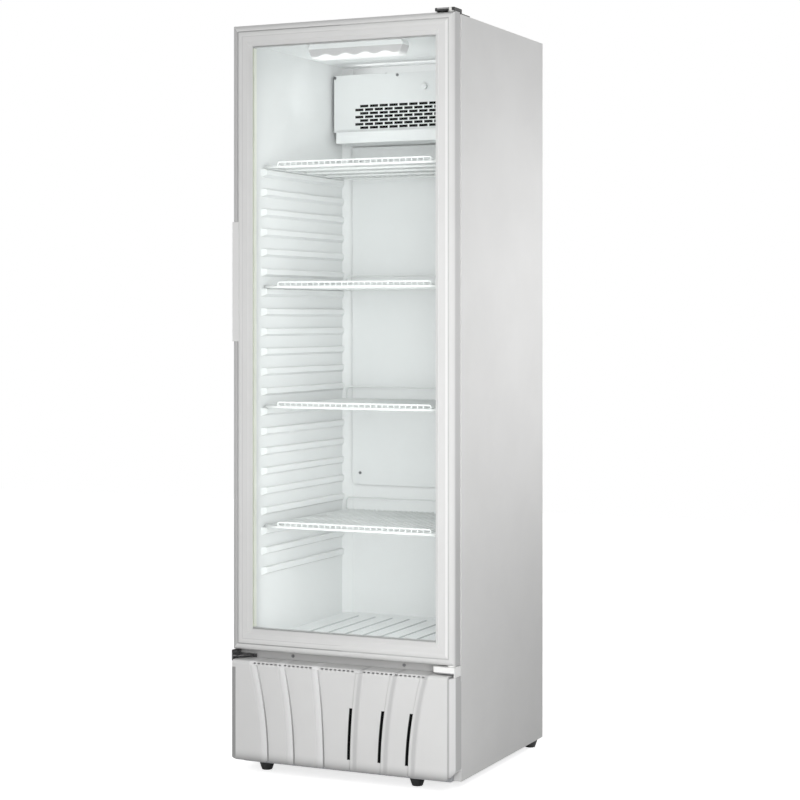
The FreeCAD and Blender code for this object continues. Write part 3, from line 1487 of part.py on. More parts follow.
def evaporator_cover():
    """Sheet cover with side flanges and rows of air slots, every second row set off by half a pitch."""
    edge = cover_half_width
    back = cover_face + cover_side_depth
    plate = box(-edge, edge, cover_face, cover_face + cover_sheet, cover_bottom, cover_top)
    flange = box(-edge, -edge + cover_sheet, cover_face, back, cover_bottom, cover_top)
    cover = plate.fuse([flange, mirrored(flange)])
    slots = []
    for row in range(slot_rows):
        z = slot_first_row + slot_row_pitch * row
        count = int((2 * slot_half_span - slot_length) // slot_pitch) + 1 + row % 2
        first = -slot_pitch * (count - 1) / 2
        for i in range(count):
            x = first + slot_pitch * i
            slots.append(box(x - slot_length / 2, x + slot_length / 2, cover_face - 1,
                             cover_face + cover_sheet + 1, z - slot_height / 2, z + slot_height / 2))
    cover = cover.cut(Part.makeCompound(slots))
    cover = cover.cut(rod(knob_stem_radius + pin_clearance, vec(knob_x, cover_face - 1, knob_z),
                          vec(knob_x, cover_face + cover_sheet + 1, knob_z)))
    for side in (-1, 1):
        for x in cover_screw_places:
            cover = cover.cut(screw_hole_y(side * x, cover_face, cover_screw_height))
    return cover.removeSplitter()


def evaporator_coil():
    """Finned coil on two stand-off blocks against the rear wall."""
    coil = fin_pack(-coil_half_length, coil_half_length, coil_front, coil_back, coil_bottom, coil_top,
                    coil_fin_count, coil_groove, coil_rows, coil_tube_radius)
    for side in (-1, 1):
        x = side * (coil_half_length - coil_stand_inset)
        coil = coil.fuse(box(x - coil_stand_half, x + coil_stand_half,
                             coil_back - coil_stand_overlap, cavity_back,
                             coil_top - coil_stand_half, coil_top))
    return coil.removeSplitter()


def coil_level(row):
    return coil_bottom + (coil_top - coil_bottom) / coil_rows * (row + 0.5)


def evaporator_fan_y():
    """Middle of the evaporator fan's hub: its blades clear the cover."""
    return cover_face + cover_sheet + evaporator_fan_gap + blade_reach(evaporator_fan_radius)


def evaporator_fan():
    wheel = fan(evaporator_hub_radius, evaporator_fan_radius, evaporator_hub_length,
                evaporator_shaft_length)
    wheel.translate(vec(evaporator_fan_x, evaporator_fan_y(), evaporator_fan_z))
    return wheel


def evaporator_fan_motor():
    """Small motor on three bent arms that stand on the back of the cover."""
    front = evaporator_fan_y() + evaporator_hub_length
    centre = vec(evaporator_fan_x, 0, evaporator_fan_z)
    back = front + evaporator_motor_length
    motor = rod(evaporator_motor_radius, centre + vec(0, front, 0), centre + vec(0, back, 0))
    motor = motor.makeFillet(evaporator_motor_round, [e for e in motor.Edges if len(e.Vertexes) == 1])
    level = front + evaporator_motor_length * motor_arm_place
    root = evaporator_motor_radius - motor_arm_overlap
    for turn in (0, 90, 180):
        out = vec(math.cos(math.radians(turn)), 0, math.sin(math.radians(turn)))
        arm = bent_tube([centre + out * root + vec(0, level, 0),
                         centre + out * motor_arm_reach + vec(0, level, 0),
                         centre + out * motor_arm_reach + vec(0, cover_face + cover_sheet, 0)],
                        motor_arm_radius, motor_arm_bend)
        motor = motor.fuse(arm)
    bore = rod(shaft_radius + pin_clearance, centre + vec(0, front - 1, 0),
               centre + vec(0, front + evaporator_bore_depth, 0))
    return motor.cut(bore).removeSplitter()


def thermostat():
    """Control body behind the cover that the knob's stem turns in."""
    width, depth, height = thermostat_body
    front = cover_face + cover_sheet
    body = box(knob_x - width / 2, knob_x + width / 2, front, front + depth,
               knob_z - height / 2, knob_z + height / 2)
    bore = rod(knob_stem_radius + pin_clearance,
               vec(knob_x, front - 1, knob_z), vec(knob_x, front + knob_stem_reach + 1, knob_z))
    return body.cut(bore)


def thermostat_knob():
    """Small round knob with a pointer ridge, on a stem through the cover."""
    back = cover_face - fit_gap
    knob = rod(knob_radius, vec(knob_x, back - knob_length, knob_z), vec(knob_x, back, knob_z))
    knob = knob.makeFillet(knob_round, [e for e in knob.Edges
                                 if len(e.Vertexes) == 1 and e.CenterOfMass.y < back - 1])
    face = back - knob_length
    ridge = box(knob_x - pointer_half_width, knob_x + pointer_half_width, face - 1, face + 1,
                knob_z, knob_z + knob_radius - pointer_inset)
    stem = rod(knob_stem_radius, vec(knob_x, back - 1, knob_z),
               vec(knob_x, cover_face + cover_sheet + knob_stem_reach, knob_z))
    return knob.fuse([ridge, stem]).removeSplitter()


def drip_tray():
    """Open tray under the coil, with a hole in its rear wall for the drain tube."""
    half = tray_half_width
    low = cover_bottom - tray_height
    tray = box(-half, half, tray_front, tray_back, low, cover_bottom)
    room = box(-half + tray_wall, half - tray_wall, tray_front + tray_wall, tray_back - tray_wall,
               low + tray_wall, cover_bottom + 1)
    tray = tray.cut(room)
    spout = rod(drain_radius - drain_wall, vec(drain_x, tray_back - tray_wall - 1, drain_inlet()),
                vec(drain_x, tray_back + 1, drain_inlet()))
    hanger = box(-half, -half + tray_wall, tray_back - tray_hanger_depth, cavity_back,
                 low + tray_hanger_rise, cover_bottom)
    return tray.cut(spout).fuse([hanger, mirrored(hanger)]).removeSplitter()


def drain_inlet():
    return cover_bottom - tray_height + tray_wall + drain_radius


def drain_route():
    return [vec(drain_x, tray_back, drain_inlet()), vec(drain_x, drain_y, drain_inlet()),
            vec(drain_x, drain_y, drain_end)]


def drain_tube():
    route = drain_route()
    bore = [route[0] - vec(0, 1, 0), route[1], route[2] - vec(0, 0, 1)]
    outer = bent_tube(route, drain_radius, line_bend)
    return outer.cut(bent_tube(bore, drain_radius - drain_wall, line_bend))


# ---------------------------------------------------------------- machine compartment


def coil_middle():
    return (coil_front + coil_back) / 2


def condenser_middle():
    return condenser_front + condenser_depth / 2


def condenser_level(row):
    return pan_top + (condenser_top - pan_top) / condenser_rows * (row + 0.5)


def suction_route():
    """From the top of the evaporator, down inside the rear foam, to the compressor."""
    port = compressor_port_height
    z = coil_level(coil_rows - 1)
    return [vec(-coil_half_length, coil_middle(), z), vec(line_wall_x, coil_middle(), z),
            vec(line_wall_x, line_wall_y, z), vec(line_wall_x, line_wall_y, port),
            vec(compressor_x, line_wall_y, port),
            vec(compressor_x, compressor_y + compressor_radius + compressor_port, port)]


def discharge_route():
    """From the compressor to the top row of the condenser."""
    port = compressor_port_height
    z = condenser_level(condenser_rows - 1)
    return [vec(compressor_x + compressor_radius + compressor_port, compressor_y, port),
            vec(discharge_x, compressor_y, port), vec(discharge_x, condenser_middle(), port),
            vec(discharge_x, condenser_middle(), z), vec(condenser_right, condenser_middle(), z)]


def liquid_route():
    """From the lowest row of the condenser, up inside the rear foam, to the evaporator."""
    low = condenser_level(0)
    side = liquid_side_inset - half_width
    top = coil_level(0)
    high = condenser_top - liquid_drop
    return [vec(condenser_left, condenser_middle(), low), vec(side, condenser_middle(), low),
            vec(side, condenser_middle(), high), vec(side, line_wall_y, high),
            vec(liquid_wall_x, line_wall_y, high), vec(liquid_wall_x, line_wall_y, top),
            vec(liquid_wall_x, coil_middle(), top), vec(-coil_half_length, coil_middle(), top)]


def refrigerant_lines():
    return Part.makeCompound([bent_tube(suction_route(), line_radius, line_bend),
                              bent_tube(discharge_route(), line_radius, line_bend),
                              bent_tube(liquid_route(), liquid_radius, line_bend)])


def compressor():
    """Hermetic compressor: two drawn shells with a weld seam, on a foot plate."""
    base = pan_top + compressor_stand
    low = base + compressor_plate
    top = base + compressor_height
    seam = low + (top - low) * compressor_seam_share
    seam_low = seam - compressor_seam
    seam_high = seam + compressor_seam
    radius = compressor_radius
    shoulder = compressor_shoulder
    slack = shoulder * (1 - math.sqrt(0.5))
    outline = [
        Part.LineSegment(vec(0, 0, base), vec(radius - shoulder, 0, base)),
        Part.LineSegment(vec(radius - shoulder, 0, base), vec(radius - shoulder, 0, low)),
        Part.Arc(vec(radius - shoulder, 0, low), vec(radius - slack, 0, low + slack),
                 vec(radius, 0, low + shoulder)),
        Part.LineSegment(vec(radius, 0, low + shoulder), vec(radius, 0, seam_low)),
        Part.LineSegment(vec(radius, 0, seam_low), vec(radius + compressor_seam, 0, seam_low)),
        Part.LineSegment(vec(radius + compressor_seam, 0, seam_low),
                         vec(radius + compressor_seam, 0, seam_high)),
        Part.LineSegment(vec(radius + compressor_seam, 0, seam_high), vec(radius, 0, seam_high)),
        Part.LineSegment(vec(radius, 0, seam_high), vec(radius, 0, top - shoulder)),
        Part.Arc(vec(radius, 0, top - shoulder), vec(radius - slack, 0, top - slack),
                 vec(radius - shoulder, 0, top)),
        Part.LineSegment(vec(radius - shoulder, 0, top), vec(0, 0, top)),
        Part.LineSegment(vec(0, 0, top), vec(0, 0, base)),
    ]
    shell = Part.Face(Part.Wire([g.toShape() for g in outline])).revolve(vec(0, 0, 0), vec(0, 0, 1), 360)
    reach = mount_spread + mount_radius
    reach_y = reach * mount_depth_share
    plate = box(-reach, reach, -reach_y, reach_y, base, low)
    plate = upright_fillet(plate, compressor_plate_corner)
    port = compressor_port_height
    port_radius = line_radius + compressor_port_wall
    back_port = rod(port_radius, vec(0, radius * 0.8, port), vec(0, radius + compressor_port, port))
    side_port = rod(port_radius, vec(radius * 0.8, 0, port), vec(radius + compressor_port, 0, port))
    terminals = box(-terminal_half_width, terminal_half_width, -radius - terminal_reach, -radius * 0.7,
                    low + terminal_low, low + terminal_high)
    body = shell.fuse([plate, back_port, side_port, terminals]).removeSplitter()
    body.translate(vec(compressor_x, compressor_y, 0))
    return body


def compressor_mounts():
    """Four rubber grommets between the pan and the compressor's foot plate."""
    pieces = []
    for side_x in (-1, 1):
        for side_y in (-1, 1):
            x = compressor_x + side_x * mount_spread
            y = compressor_y + side_y * (mount_spread * mount_depth_share - mount_depth_inset)
            top = vec(x, y, pan_top + compressor_stand)
            grommet = rod(mount_radius, vec(x, y, pan_top), top)
            waist = rod(mount_radius + 1, vec(x, y, pan_top + grommet_groove_low),
                        vec(x, y, pan_top + grommet_groove_high))
            neck = rod(mount_radius - grommet_groove, vec(x, y, pan_top), top)
            pieces.append(grommet.cut(waist).fuse(neck).removeSplitter())
    return Part.makeCompound(pieces)


def condenser():
    """Finned condenser standing on the pan behind the kick panel."""
    return fin_pack(condenser_left, condenser_right, condenser_front, condenser_front + condenser_depth,
                    pan_top, condenser_top, condenser_fin_count, condenser_groove, condenser_rows,
                    condenser_tube_radius)


def condenser_fan_place():
    """Middle of the condenser fan's hub."""
    x = (condenser_left + condenser_right) / 2
    y = condenser_front + condenser_depth + shroud_depth / 2
    return vec(x, y, (pan_top + condenser_top) / 2)


def condenser_fan():
    wheel = fan(condenser_hub_radius, condenser_fan_radius, condenser_hub_length,
                shroud_depth / 2 + motor_gap + motor_shaft_overlap)
    wheel.translate(condenser_fan_place())
    return wheel


def condenser_fan_motor():
    """Shroud behind the condenser with the motor on three rods behind its ring."""
    centre = condenser_fan_place()
    front = condenser_front + condenser_depth
    back = front + shroud_depth
    shroud = box(condenser_left, condenser_right, front, back, pan_top, condenser_top)
    room = box(condenser_left + shroud_sheet, condenser_right - shroud_sheet,
               front - 1, back - shroud_sheet,
               pan_top + shroud_sheet, condenser_top - shroud_sheet)
    ring_radius = condenser_fan_radius + fan_tip_gap
    ring = rod(ring_radius, vec(centre.x, back - shroud_sheet - 1, centre.z),
               vec(centre.x, back + 1, centre.z))
    unit = shroud.cut(room).cut(ring)
    motor_front = back + motor_gap
    motor_back = motor_front + motor_length
    motor = rod(motor_radius, vec(centre.x, motor_front, centre.z), vec(centre.x, motor_back, centre.z))
    motor = motor.makeFillet(motor_round, [e for e in motor.Edges if len(e.Vertexes) == 1])
    unit = unit.fuse(motor)
    for turn in (90, 210, 330):
        out = vec(math.cos(math.radians(turn)), 0, math.sin(math.radians(turn)))
        inner = vec(centre.x, motor_front + motor_rod_inset, centre.z)
        inner += out * (motor_radius - motor_rod_overlap)
        outer = vec(centre.x, back - shroud_sheet / 2, centre.z) + out * (ring_radius + motor_rod_margin)
        unit = unit.fuse(rod(motor_arm_radius, inner, outer))
    bore = rod(shaft_radius + pin_clearance, vec(centre.x, motor_front - 1, centre.z),
               vec(centre.x, motor_front + motor_bore_depth, centre.z))
    return unit.cut(bore).removeSplitter()


def evaporating_tray():
    """Open tray under the end of the drain tube, where the defrost water dries off."""
    tray = box(water_tray_left, water_tray_right, water_tray_front, water_tray_back,
               pan_top, pan_top + water_tray_height)
    tray = upright_fillet(tray, water_tray_corner)
    room = box(water_tray_left + tray_wall, water_tray_right - tray_wall, water_tray_front + tray_wall,
               water_tray_back - tray_wall, pan_top + tray_wall, pan_top + water_tray_height + 1)
    room = upright_fillet(room, water_tray_corner - tray_wall)
    return tray.cut(room)


def gland_height():
    return pan_top + junction_height * gland_height_share


def junction_box():
    """Connection box for the supply, with an empty cord gland that reaches the rear grille."""
    back = cabinet_depth - gland_length
    shell = box(junction_x - junction_width / 2, junction_x + junction_width / 2,
                back - junction_depth, back, pan_top, pan_top + junction_height)
    shell = upright_fillet(shell, junction_corner)
    mouth = vec(junction_x, cabinet_depth, gland_height())
    gland = rod(gland_radius, vec(junction_x, back, gland_height()), mouth)
    bore = rod(gland_bore, vec(junction_x, back, gland_height()), mouth + vec(0, 1, 0))
    return shell.fuse(gland).cut(bore).removeSplitter()


def rear_grille():
    """Slotted cover over the machine compartment."""
    edge = half_width - sheet
    plate = box(-edge, edge, rear_skin, rear_skin + grille_sheet, 0, deck_level - deck_sheet)
    cuts = [rod(gland_radius + fit_gap, vec(junction_x, rear_skin - 1, gland_height()),
                vec(junction_x, cabinet_depth + 1, gland_height()))]
    for row in range(grille_slot_rows):
        z = grille_first_slot + grille_slot_pitch * row
        for column in range(grille_slot_columns):
            x = (grille_slot_length + grille_slot_gap) * (column - (grille_slot_columns - 1) / 2)
            cuts.append(box(x - grille_slot_length / 2, x + grille_slot_length / 2, rear_skin - 1,
                            rear_skin + grille_sheet + 1, z, z + grille_slot_height))
    return plate.cut(Part.makeCompound(cuts)).removeSplitter()


# ---------------------------------------------------------------- build


def right_stile():
    stile = mirrored(door_stile())
    return stile.cut(bush_holes())


def build():
    left_side = side_panel()
    left_liner = liner_side()
    shelf_shape = shelf()
    save("side_panel_left", left_side)
    save("side_panel_right", mirrored(left_side))
    save("top_panel", top_panel())
    save("rear_panel", rear_panel())
    save("machine_deck", machine_deck())
    save("insulation_foam", insulation_foam())
    save("liner_left", left_liner)
    save("liner_right", mirrored(left_liner))
    save("liner_back", liner_back())
    save("liner_ceiling", liner_ceiling())
    save("liner_floor", liner_floor())
    save("back_baffle", back_baffle())
    save("front_crossmember", front_crossmember())
    save("base_pan", base_pan())
    save("kick_panel", kick_panel())
    save("rear_grille", rear_grille())
    save("top_hinge_bracket", top_hinge_bracket())
    save("top_hinge_cover", top_hinge_cover())
    save("bottom_hinge_bracket", bottom_hinge_bracket())
    save("bottom_hinge_block", bottom_hinge_block())
    save("spare_hinge_bracket", spare_hinge_bracket())
    save("hinge_pins", hinge_pins())
    save("screws", screws())
    save("lamp_housing", lamp_housing())
    save("lamp_lens", lamp_lens())
    save("lamp_board", lamp_board())
    save("evaporator_cover", evaporator_cover())
    save("evaporator_coil", evaporator_coil())
    save("evaporator_fan_motor", evaporator_fan_motor())
    save("evaporator_fan", evaporator_fan())
    save("thermostat", thermostat())
    save("thermostat_knob", thermostat_knob())
    save("drip_tray", drip_tray())
    save("drain_tube", drain_tube())
    save("refrigerant_lines", refrigerant_lines())
    save("compressor", compressor())
    save("compressor_mounts", compressor_mounts())
    save("condenser", condenser())
    save("condenser_fan_motor", condenser_fan_motor())
    save("condenser_fan", condenser_fan())
    save("evaporating_tray", evaporating_tray())
    save("junction_box", junction_box())
    for name, (x, y) in foot_places.items():
        save(name, foot(x, y))
    for index in range(shelf_count):
        placed = shelf_shape.copy()
        placed.translate(vec(0, 0, shelf_level(index)))
        save("shelf_%d" % (index + 1), placed)
    save("door_stile_left", door_stile().cut(handle_block(bush_clearance)))
    save("door_stile_right", right_stile())
    save("door_rail_top", door_top_rail().cut(bush_holes()))
    save("door_rail_bottom", door_rail().cut(bush_holes()))
    save("glass_outer", glass_pane(glass_front))
    save("glass_inner", glass_pane(glass_back - pane))
    save("glass_spacer", glass_ring(bevel_inset + spacer_inset, spacer_width,
                                    glass_front + pane, glass_back - pane))
    save("door_gasket", door_gasket())
    save("door_handle", door_handle())
    save("door_bushes", door_bushes())


os.makedirs("parts", exist_ok=True)
build()
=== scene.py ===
"""Upright display refrigerator with one glass door, wire shelves, a lamp and a cold-air unit.

The file follows the refrigerator as it is put together, from the cabinet's sheet metal to the feet,
and ends with the studio. Lengths are in metres: X across, -Y to the front, Z up from the floor.
"""
import math

import bpy
import numpy as np
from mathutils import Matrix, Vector


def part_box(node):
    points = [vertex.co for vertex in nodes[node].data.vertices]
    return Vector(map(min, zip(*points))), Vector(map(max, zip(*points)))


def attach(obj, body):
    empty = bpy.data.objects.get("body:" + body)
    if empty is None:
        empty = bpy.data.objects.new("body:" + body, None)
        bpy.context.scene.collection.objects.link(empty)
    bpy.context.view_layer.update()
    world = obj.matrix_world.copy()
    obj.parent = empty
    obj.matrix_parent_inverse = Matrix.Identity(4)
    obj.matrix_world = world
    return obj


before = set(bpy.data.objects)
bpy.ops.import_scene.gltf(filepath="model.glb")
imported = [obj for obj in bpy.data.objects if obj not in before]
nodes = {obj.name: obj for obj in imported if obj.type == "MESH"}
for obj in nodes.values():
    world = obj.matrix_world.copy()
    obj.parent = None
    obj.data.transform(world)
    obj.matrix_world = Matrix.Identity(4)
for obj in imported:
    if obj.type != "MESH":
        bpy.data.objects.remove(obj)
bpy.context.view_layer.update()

# ---- Cabinet panels ---------------------------------------------------------------------------
# Folded steel sheet with a satin white powder coat. The coat dries with a faint orange peel and
# takes on light handling marks, which show as small changes of gloss.


def effect_group(name, numbers, outputs):
    """Empty shader node group: number inputs with defaults, and named outputs with their kinds."""
    group = bpy.data.node_groups.new(name, "ShaderNodeTree")
    for label, value in numbers.items():
        socket = group.interface.new_socket(name=label, in_out="INPUT",
                                            socket_type="NodeSocketFloat")
        socket.default_value = value
    for label, kind in outputs.items():
        group.interface.new_socket(name=label, in_out="OUTPUT", socket_type=kind)
    into = group.nodes.new("NodeGroupInput")
    out = group.nodes.new("NodeGroupOutput")
    return group, into, out


def node(tree, kind, **settings):
    """New node with its settings, and its unlinked inputs given by name."""
    made = tree.nodes.new(kind)
    inputs = settings.pop("inputs", {})
    for key, value in settings.items():
        setattr(made, key, value)
    for key, value in inputs.items():
        made.inputs[key].default_value = value
    return made


def calc(tree, operation, *values):
    """Output of one Math node on sockets and plain numbers."""
    made = node(tree, "ShaderNodeMath", operation=operation)
    for place, value in enumerate(values):
        if isinstance(value, bpy.types.NodeSocket):
            tree.links.new(value, made.inputs[place])
        else:
            made.inputs[place].default_value = value
    return made.outputs[0]


def rise(tree, value, start, end):
    """Smooth step: 0 before start, 1 after end."""
    made = node(tree, "ShaderNodeMapRange", interpolation_type="SMOOTHSTEP",
                inputs={"From Min": start, "From Max": end})
    tree.links.new(value, made.inputs["Value"])
    return made.outputs["Result"]


def inverse(tree, mask):
    """1 where the mask is 0, and 0 where it is 1."""
    return calc(tree, "SUBTRACT", 1.0, mask)


def fall(tree, value, start, end):
    """Smooth step: 1 before start, 0 after end."""
    return inverse(tree, rise(tree, value, start, end))


def weaker(tree, mask, share):
    """1 where the mask is 0, and less by a share where it is 1."""
    return calc(tree, "MULTIPLY_ADD", mask, -share, 1.0)


def product(tree, first, *others):
    """All the masks multiplied together."""
    for other in others:
        first = calc(tree, "MULTIPLY", first, other)
    return first


def pulse(tree, value, start, end, soft):
    """1 between start and end, fading to 0 over a soft width on both sides."""
    return product(tree, rise(tree, value, start - soft, start), fall(tree, value, end, end + soft))


def right_half(tree, x):
    """1 on the right-hand half of the refrigerator, 0 on the left, changing over 20 mm."""
    return rise(tree, x, -0.01, 0.01)


def parts_of(tree, output):
    """X, Y and Z of a texture coordinate, such as Object for the place or Normal for the facing."""
    parts = node(tree, "ShaderNodeSeparateXYZ")
    tree.links.new(node(tree, "ShaderNodeTexCoord").outputs[output], parts.inputs[0])
    return parts.outputs


def put_masks(material, name, masks, tones):
    """Put masks(group) in a shader group, and lay one tone over the finish for each, in order."""
    group, _, out = effect_group(name, {}, dict.fromkeys(tones, "NodeSocketFloat"))
    for label, mask in masks(group).items():
        group.links.new(mask, out.inputs[label])
    marks = node(material.node_tree, "ShaderNodeGroup", node_tree=group)
    for label, tone in tones.items():
        lay_over(material, marks.outputs[label], tone)


def surface_grain_group():
    """Height of two noises, a wide one for waviness and a fine one for grain, and a slow mask.

    height = wave * noise(p * wave scale) + grain * noise(p * grain scale)
    gloss = roughness + change * mask
    """
    group, into, out = effect_group(
        "surface_grain",
        {"Grain Scale": 900.0, "Grain": 0.5, "Wave Scale": 60.0, "Wave": 0.5, "Mark Scale": 6.0,
         "Roughness": 0.4, "Roughness Change": 0.1},
        {"Height": "NodeSocketFloat", "Roughness": "NodeSocketFloat", "Mask": "NodeSocketFloat"},
    )
    place = node(group, "ShaderNodeTexCoord")
    fine = node(group, "ShaderNodeTexNoise", inputs={"Detail": 2.0})
    wide = node(group, "ShaderNodeTexNoise", inputs={"Detail": 1.0})
    mark = node(group, "ShaderNodeTexNoise", inputs={"Detail": 4.0, "Roughness": 0.6})
    link = group.links.new
    for noise, scale in ((fine, "Grain Scale"), (wide, "Wave Scale"), (mark, "Mark Scale")):
        link(place.outputs["Object"], noise.inputs["Vector"])
        link(into.outputs[scale], noise.inputs["Scale"])
    grain = calc(group, "MULTIPLY", fine.outputs["Fac"], into.outputs["Grain"])
    height = calc(group, "MULTIPLY_ADD", wide.outputs["Fac"], into.outputs["Wave"], grain)
    mask = node(group, "ShaderNodeMapRange", inputs={"From Min": 0.35, "From Max": 0.65})
    link(mark.outputs["Fac"], mask.inputs["Value"])
    gloss = node(group, "ShaderNodeMath", operation="MULTIPLY_ADD", use_clamp=True)
    link(mask.outputs["Result"], gloss.inputs[0])
    link(into.outputs["Roughness Change"], gloss.inputs[1])
    link(into.outputs["Roughness"], gloss.inputs[2])
    link(height, out.inputs["Height"])
    link(gloss.outputs[0], out.inputs["Roughness"])
    link(mask.outputs["Result"], out.inputs["Mask"])
    return group


surface_grain = surface_grain_group()


def finish(name, colour, second, bump=0.00002, strength=0.3, metallic=0.0, coat=0.0, **grain):
    """Principled finish: its colour moves between two tones, and grain runs in gloss and relief."""
    material = bpy.data.materials.new(name)
    material.use_nodes = True
    tree = material.node_tree
    skin = tree.nodes["Principled BSDF"]
    skin.inputs["Metallic"].default_value = metallic
    skin.inputs["Coat Weight"].default_value = coat
    grained = node(tree, "ShaderNodeGroup", node_tree=surface_grain, inputs=grain)
    tones = node(tree, "ShaderNodeMix", data_type="RGBA")
    tones.inputs["A"].default_value = (*colour, 1.0)
    tones.inputs["B"].default_value = (*second, 1.0)
    relief = node(tree, "ShaderNodeBump", inputs={"Strength": strength, "Distance": bump})
    link = tree.links.new
    link(grained.outputs["Mask"], tones.inputs["Factor"])
    link(tones.outputs["Result"], skin.inputs["Base Color"])
    link(grained.outputs["Roughness"], skin.inputs["Roughness"])
    link(grained.outputs["Height"], relief.inputs["Height"])
    link(relief.outputs["Normal"], skin.inputs["Normal"])
    return material


def lay_over(material, mask, colour):
    """Put a colour over a finish where the mask is 1."""
    tree = material.node_tree
    skin = tree.nodes["Principled BSDF"]
    mix = node(tree, "ShaderNodeMix", data_type="RGBA")
    mix.inputs["B"].default_value = (*colour, 1.0)
    tree.links.new(mask, mix.inputs["Factor"])
    tree.links.new(skin.inputs["Base Color"].links[0].from_socket, mix.inputs["A"])
    tree.links.new(mix.outputs["Result"], skin.inputs["Base Color"])


def dress(material, *names):
    """Give CAD nodes a finish through their objects' material slots."""
    for name in names:
        slot = nodes[name].material_slots[0]
        slot.link = "OBJECT"
        slot.material = material


panel_coat = finish("panel_powder_coat", (0.73, 0.73, 0.725), (0.71, 0.71, 0.705), bump=0.00003,
                    strength=0.25, **{"Grain Scale": 1400.0, "Wave Scale": 220.0, "Wave": 0.8,
                                      "Roughness": 0.36, "Roughness Change": 0.08})
dress(panel_coat, "side_panel_left", "side_panel_right", "top_panel")

# ---- Bare galvanised sheet ----------------------------------------------------------------------
# Rear panel, deck and pan are hot-dip galvanised steel. The zinc freezes in flat crystals a few
# millimetres wide, each of its own grey and gloss.


def zinc_sheet(name, light, dark):
    """Metal whose colour and roughness follow the cells of a Voronoi pattern, one per crystal."""
    material = finish(name, light, dark, metallic=0.85, bump=0.00001, strength=0.15,
                      **{"Grain Scale": 700.0, "Wave": 0.0, "Roughness": 0.38,
                         "Roughness Change": 0.1})
    tree = material.node_tree
    skin = tree.nodes["Principled BSDF"]
    place = node(tree, "ShaderNodeTexCoord")
    crystal = node(tree, "ShaderNodeTexVoronoi", inputs={"Scale": 160.0})
    share = node(tree, "ShaderNodeSeparateColor")
    tones = node(tree, "ShaderNodeMix", data_type="RGBA")
    tones.inputs["A"].default_value = (*light, 1.0)
    tones.inputs["B"].default_value = (*dark, 1.0)
    gloss = node(tree, "ShaderNodeMapRange", inputs={"To Min": 0.3, "To Max": 0.52})
    link = tree.links.new
    link(place.outputs["Object"], crystal.inputs["Vector"])
    link(crystal.outputs["Color"], share.inputs[0])
    link(share.outputs[0], tones.inputs["Factor"])
    link(share.outputs[1], gloss.inputs["Value"])
    link(tones.outputs["Result"], skin.inputs["Base Color"])
    link(gloss.outputs["Result"], skin.inputs["Roughness"])
    return material


zinc = zinc_sheet("galvanised_zinc", (0.62, 0.63, 0.65), (0.46, 0.47, 0.49))
dress(zinc, "rear_panel", "machine_deck", "base_pan", "rear_grille")

# ---- Foam ---------------------------------------------------------------------------------------
# Polyurethane foamed in place between the panels and the liner: cream, with small closed cells.
foam = finish("rigid_foam", (0.78, 0.68, 0.42), (0.72, 0.60, 0.35), bump=0.0006, strength=0.6,
              **{"Grain Scale": 420.0, "Wave Scale": 60.0, "Roughness": 0.85})
dress(foam, "insulation_foam")

# ---- Liner --------------------------------------------------------------------------------------
# White plastic, vacuum formed: side walls with ribs, a rounded rear wall, the ceiling and a
# ridged floor. The drawn sheet has a soft satin gloss and a slight waviness.
drawn_sheet = {"Grain Scale": 500.0, "Grain": 0.3, "Wave Scale": 30.0,
               "Roughness": 0.42, "Roughness Change": 0.06}
liner_plastic = finish("liner_plastic", (0.805, 0.816, 0.816), (0.787, 0.798, 0.798),
                       bump=0.00008, strength=0.2, **drawn_sheet)
dress(liner_plastic, "liner_left", "liner_right", "liner_back")
# The ceiling and the floor take lighter copies of the same liner plastic: painted light.
lit_ceiling_plastic = finish("lit_ceiling_plastic", (0.95, 0.965, 0.965), (0.93, 0.95, 0.95),
                         bump=0.00008, strength=0.2, **drawn_sheet)
dress(lit_ceiling_plastic, "liner_ceiling")
lit_floor_plastic = finish("lit_floor_plastic", (0.88, 0.893, 0.893), (0.86, 0.873, 0.873),
                       bump=0.00008, strength=0.2, **drawn_sheet)
dress(lit_floor_plastic, "liner_floor")


def ridge_shade_masks(group):
    """Flank: painted shade on the sloping sides of the floor's ridges, which look partly sideways.
    """
    sideways = calc(group, "ABSOLUTE", parts_of(group, "Normal")["X"])
    return {"Flank": rise(group, sideways, 0.3, 0.6)}


put_masks(lit_floor_plastic, "ridge_flank_shade", ridge_shade_masks, {"Flank": (0.50, 0.52, 0.525)})

# ---- Rear baffle and evaporator cover -----------------------------------------------------------
# Pale coated aluminium sheet, punched and folded, held by small screws.
pale_sheet = finish("pale_coated_sheet", (0.735, 0.748, 0.748), (0.715, 0.728, 0.728), bump=0.00002,
                    strength=0.2, **{"Grain Scale": 1100.0, "Wave Scale": 90.0,
                                     "Roughness": 0.34, "Roughness Change": 0.08})
dress(pale_sheet, "back_baffle", "evaporator_cover")
cover_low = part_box("evaporator_cover")[0]
cover_joint_end = (cover_low[0] + 0.0018, cover_low[0] + 0.0026)
air_slot_length, air_slot_height = 0.0235, 0.0053
air_slot_pitch, row_pitch = 0.0288, 0.0096
end_rim, side_rim, rim_soft = 0.0003, 0.0008, 0.0002
first_row = cover_low[2] + 0.011
last_row_index = 6
last_slot_end = 0.1865


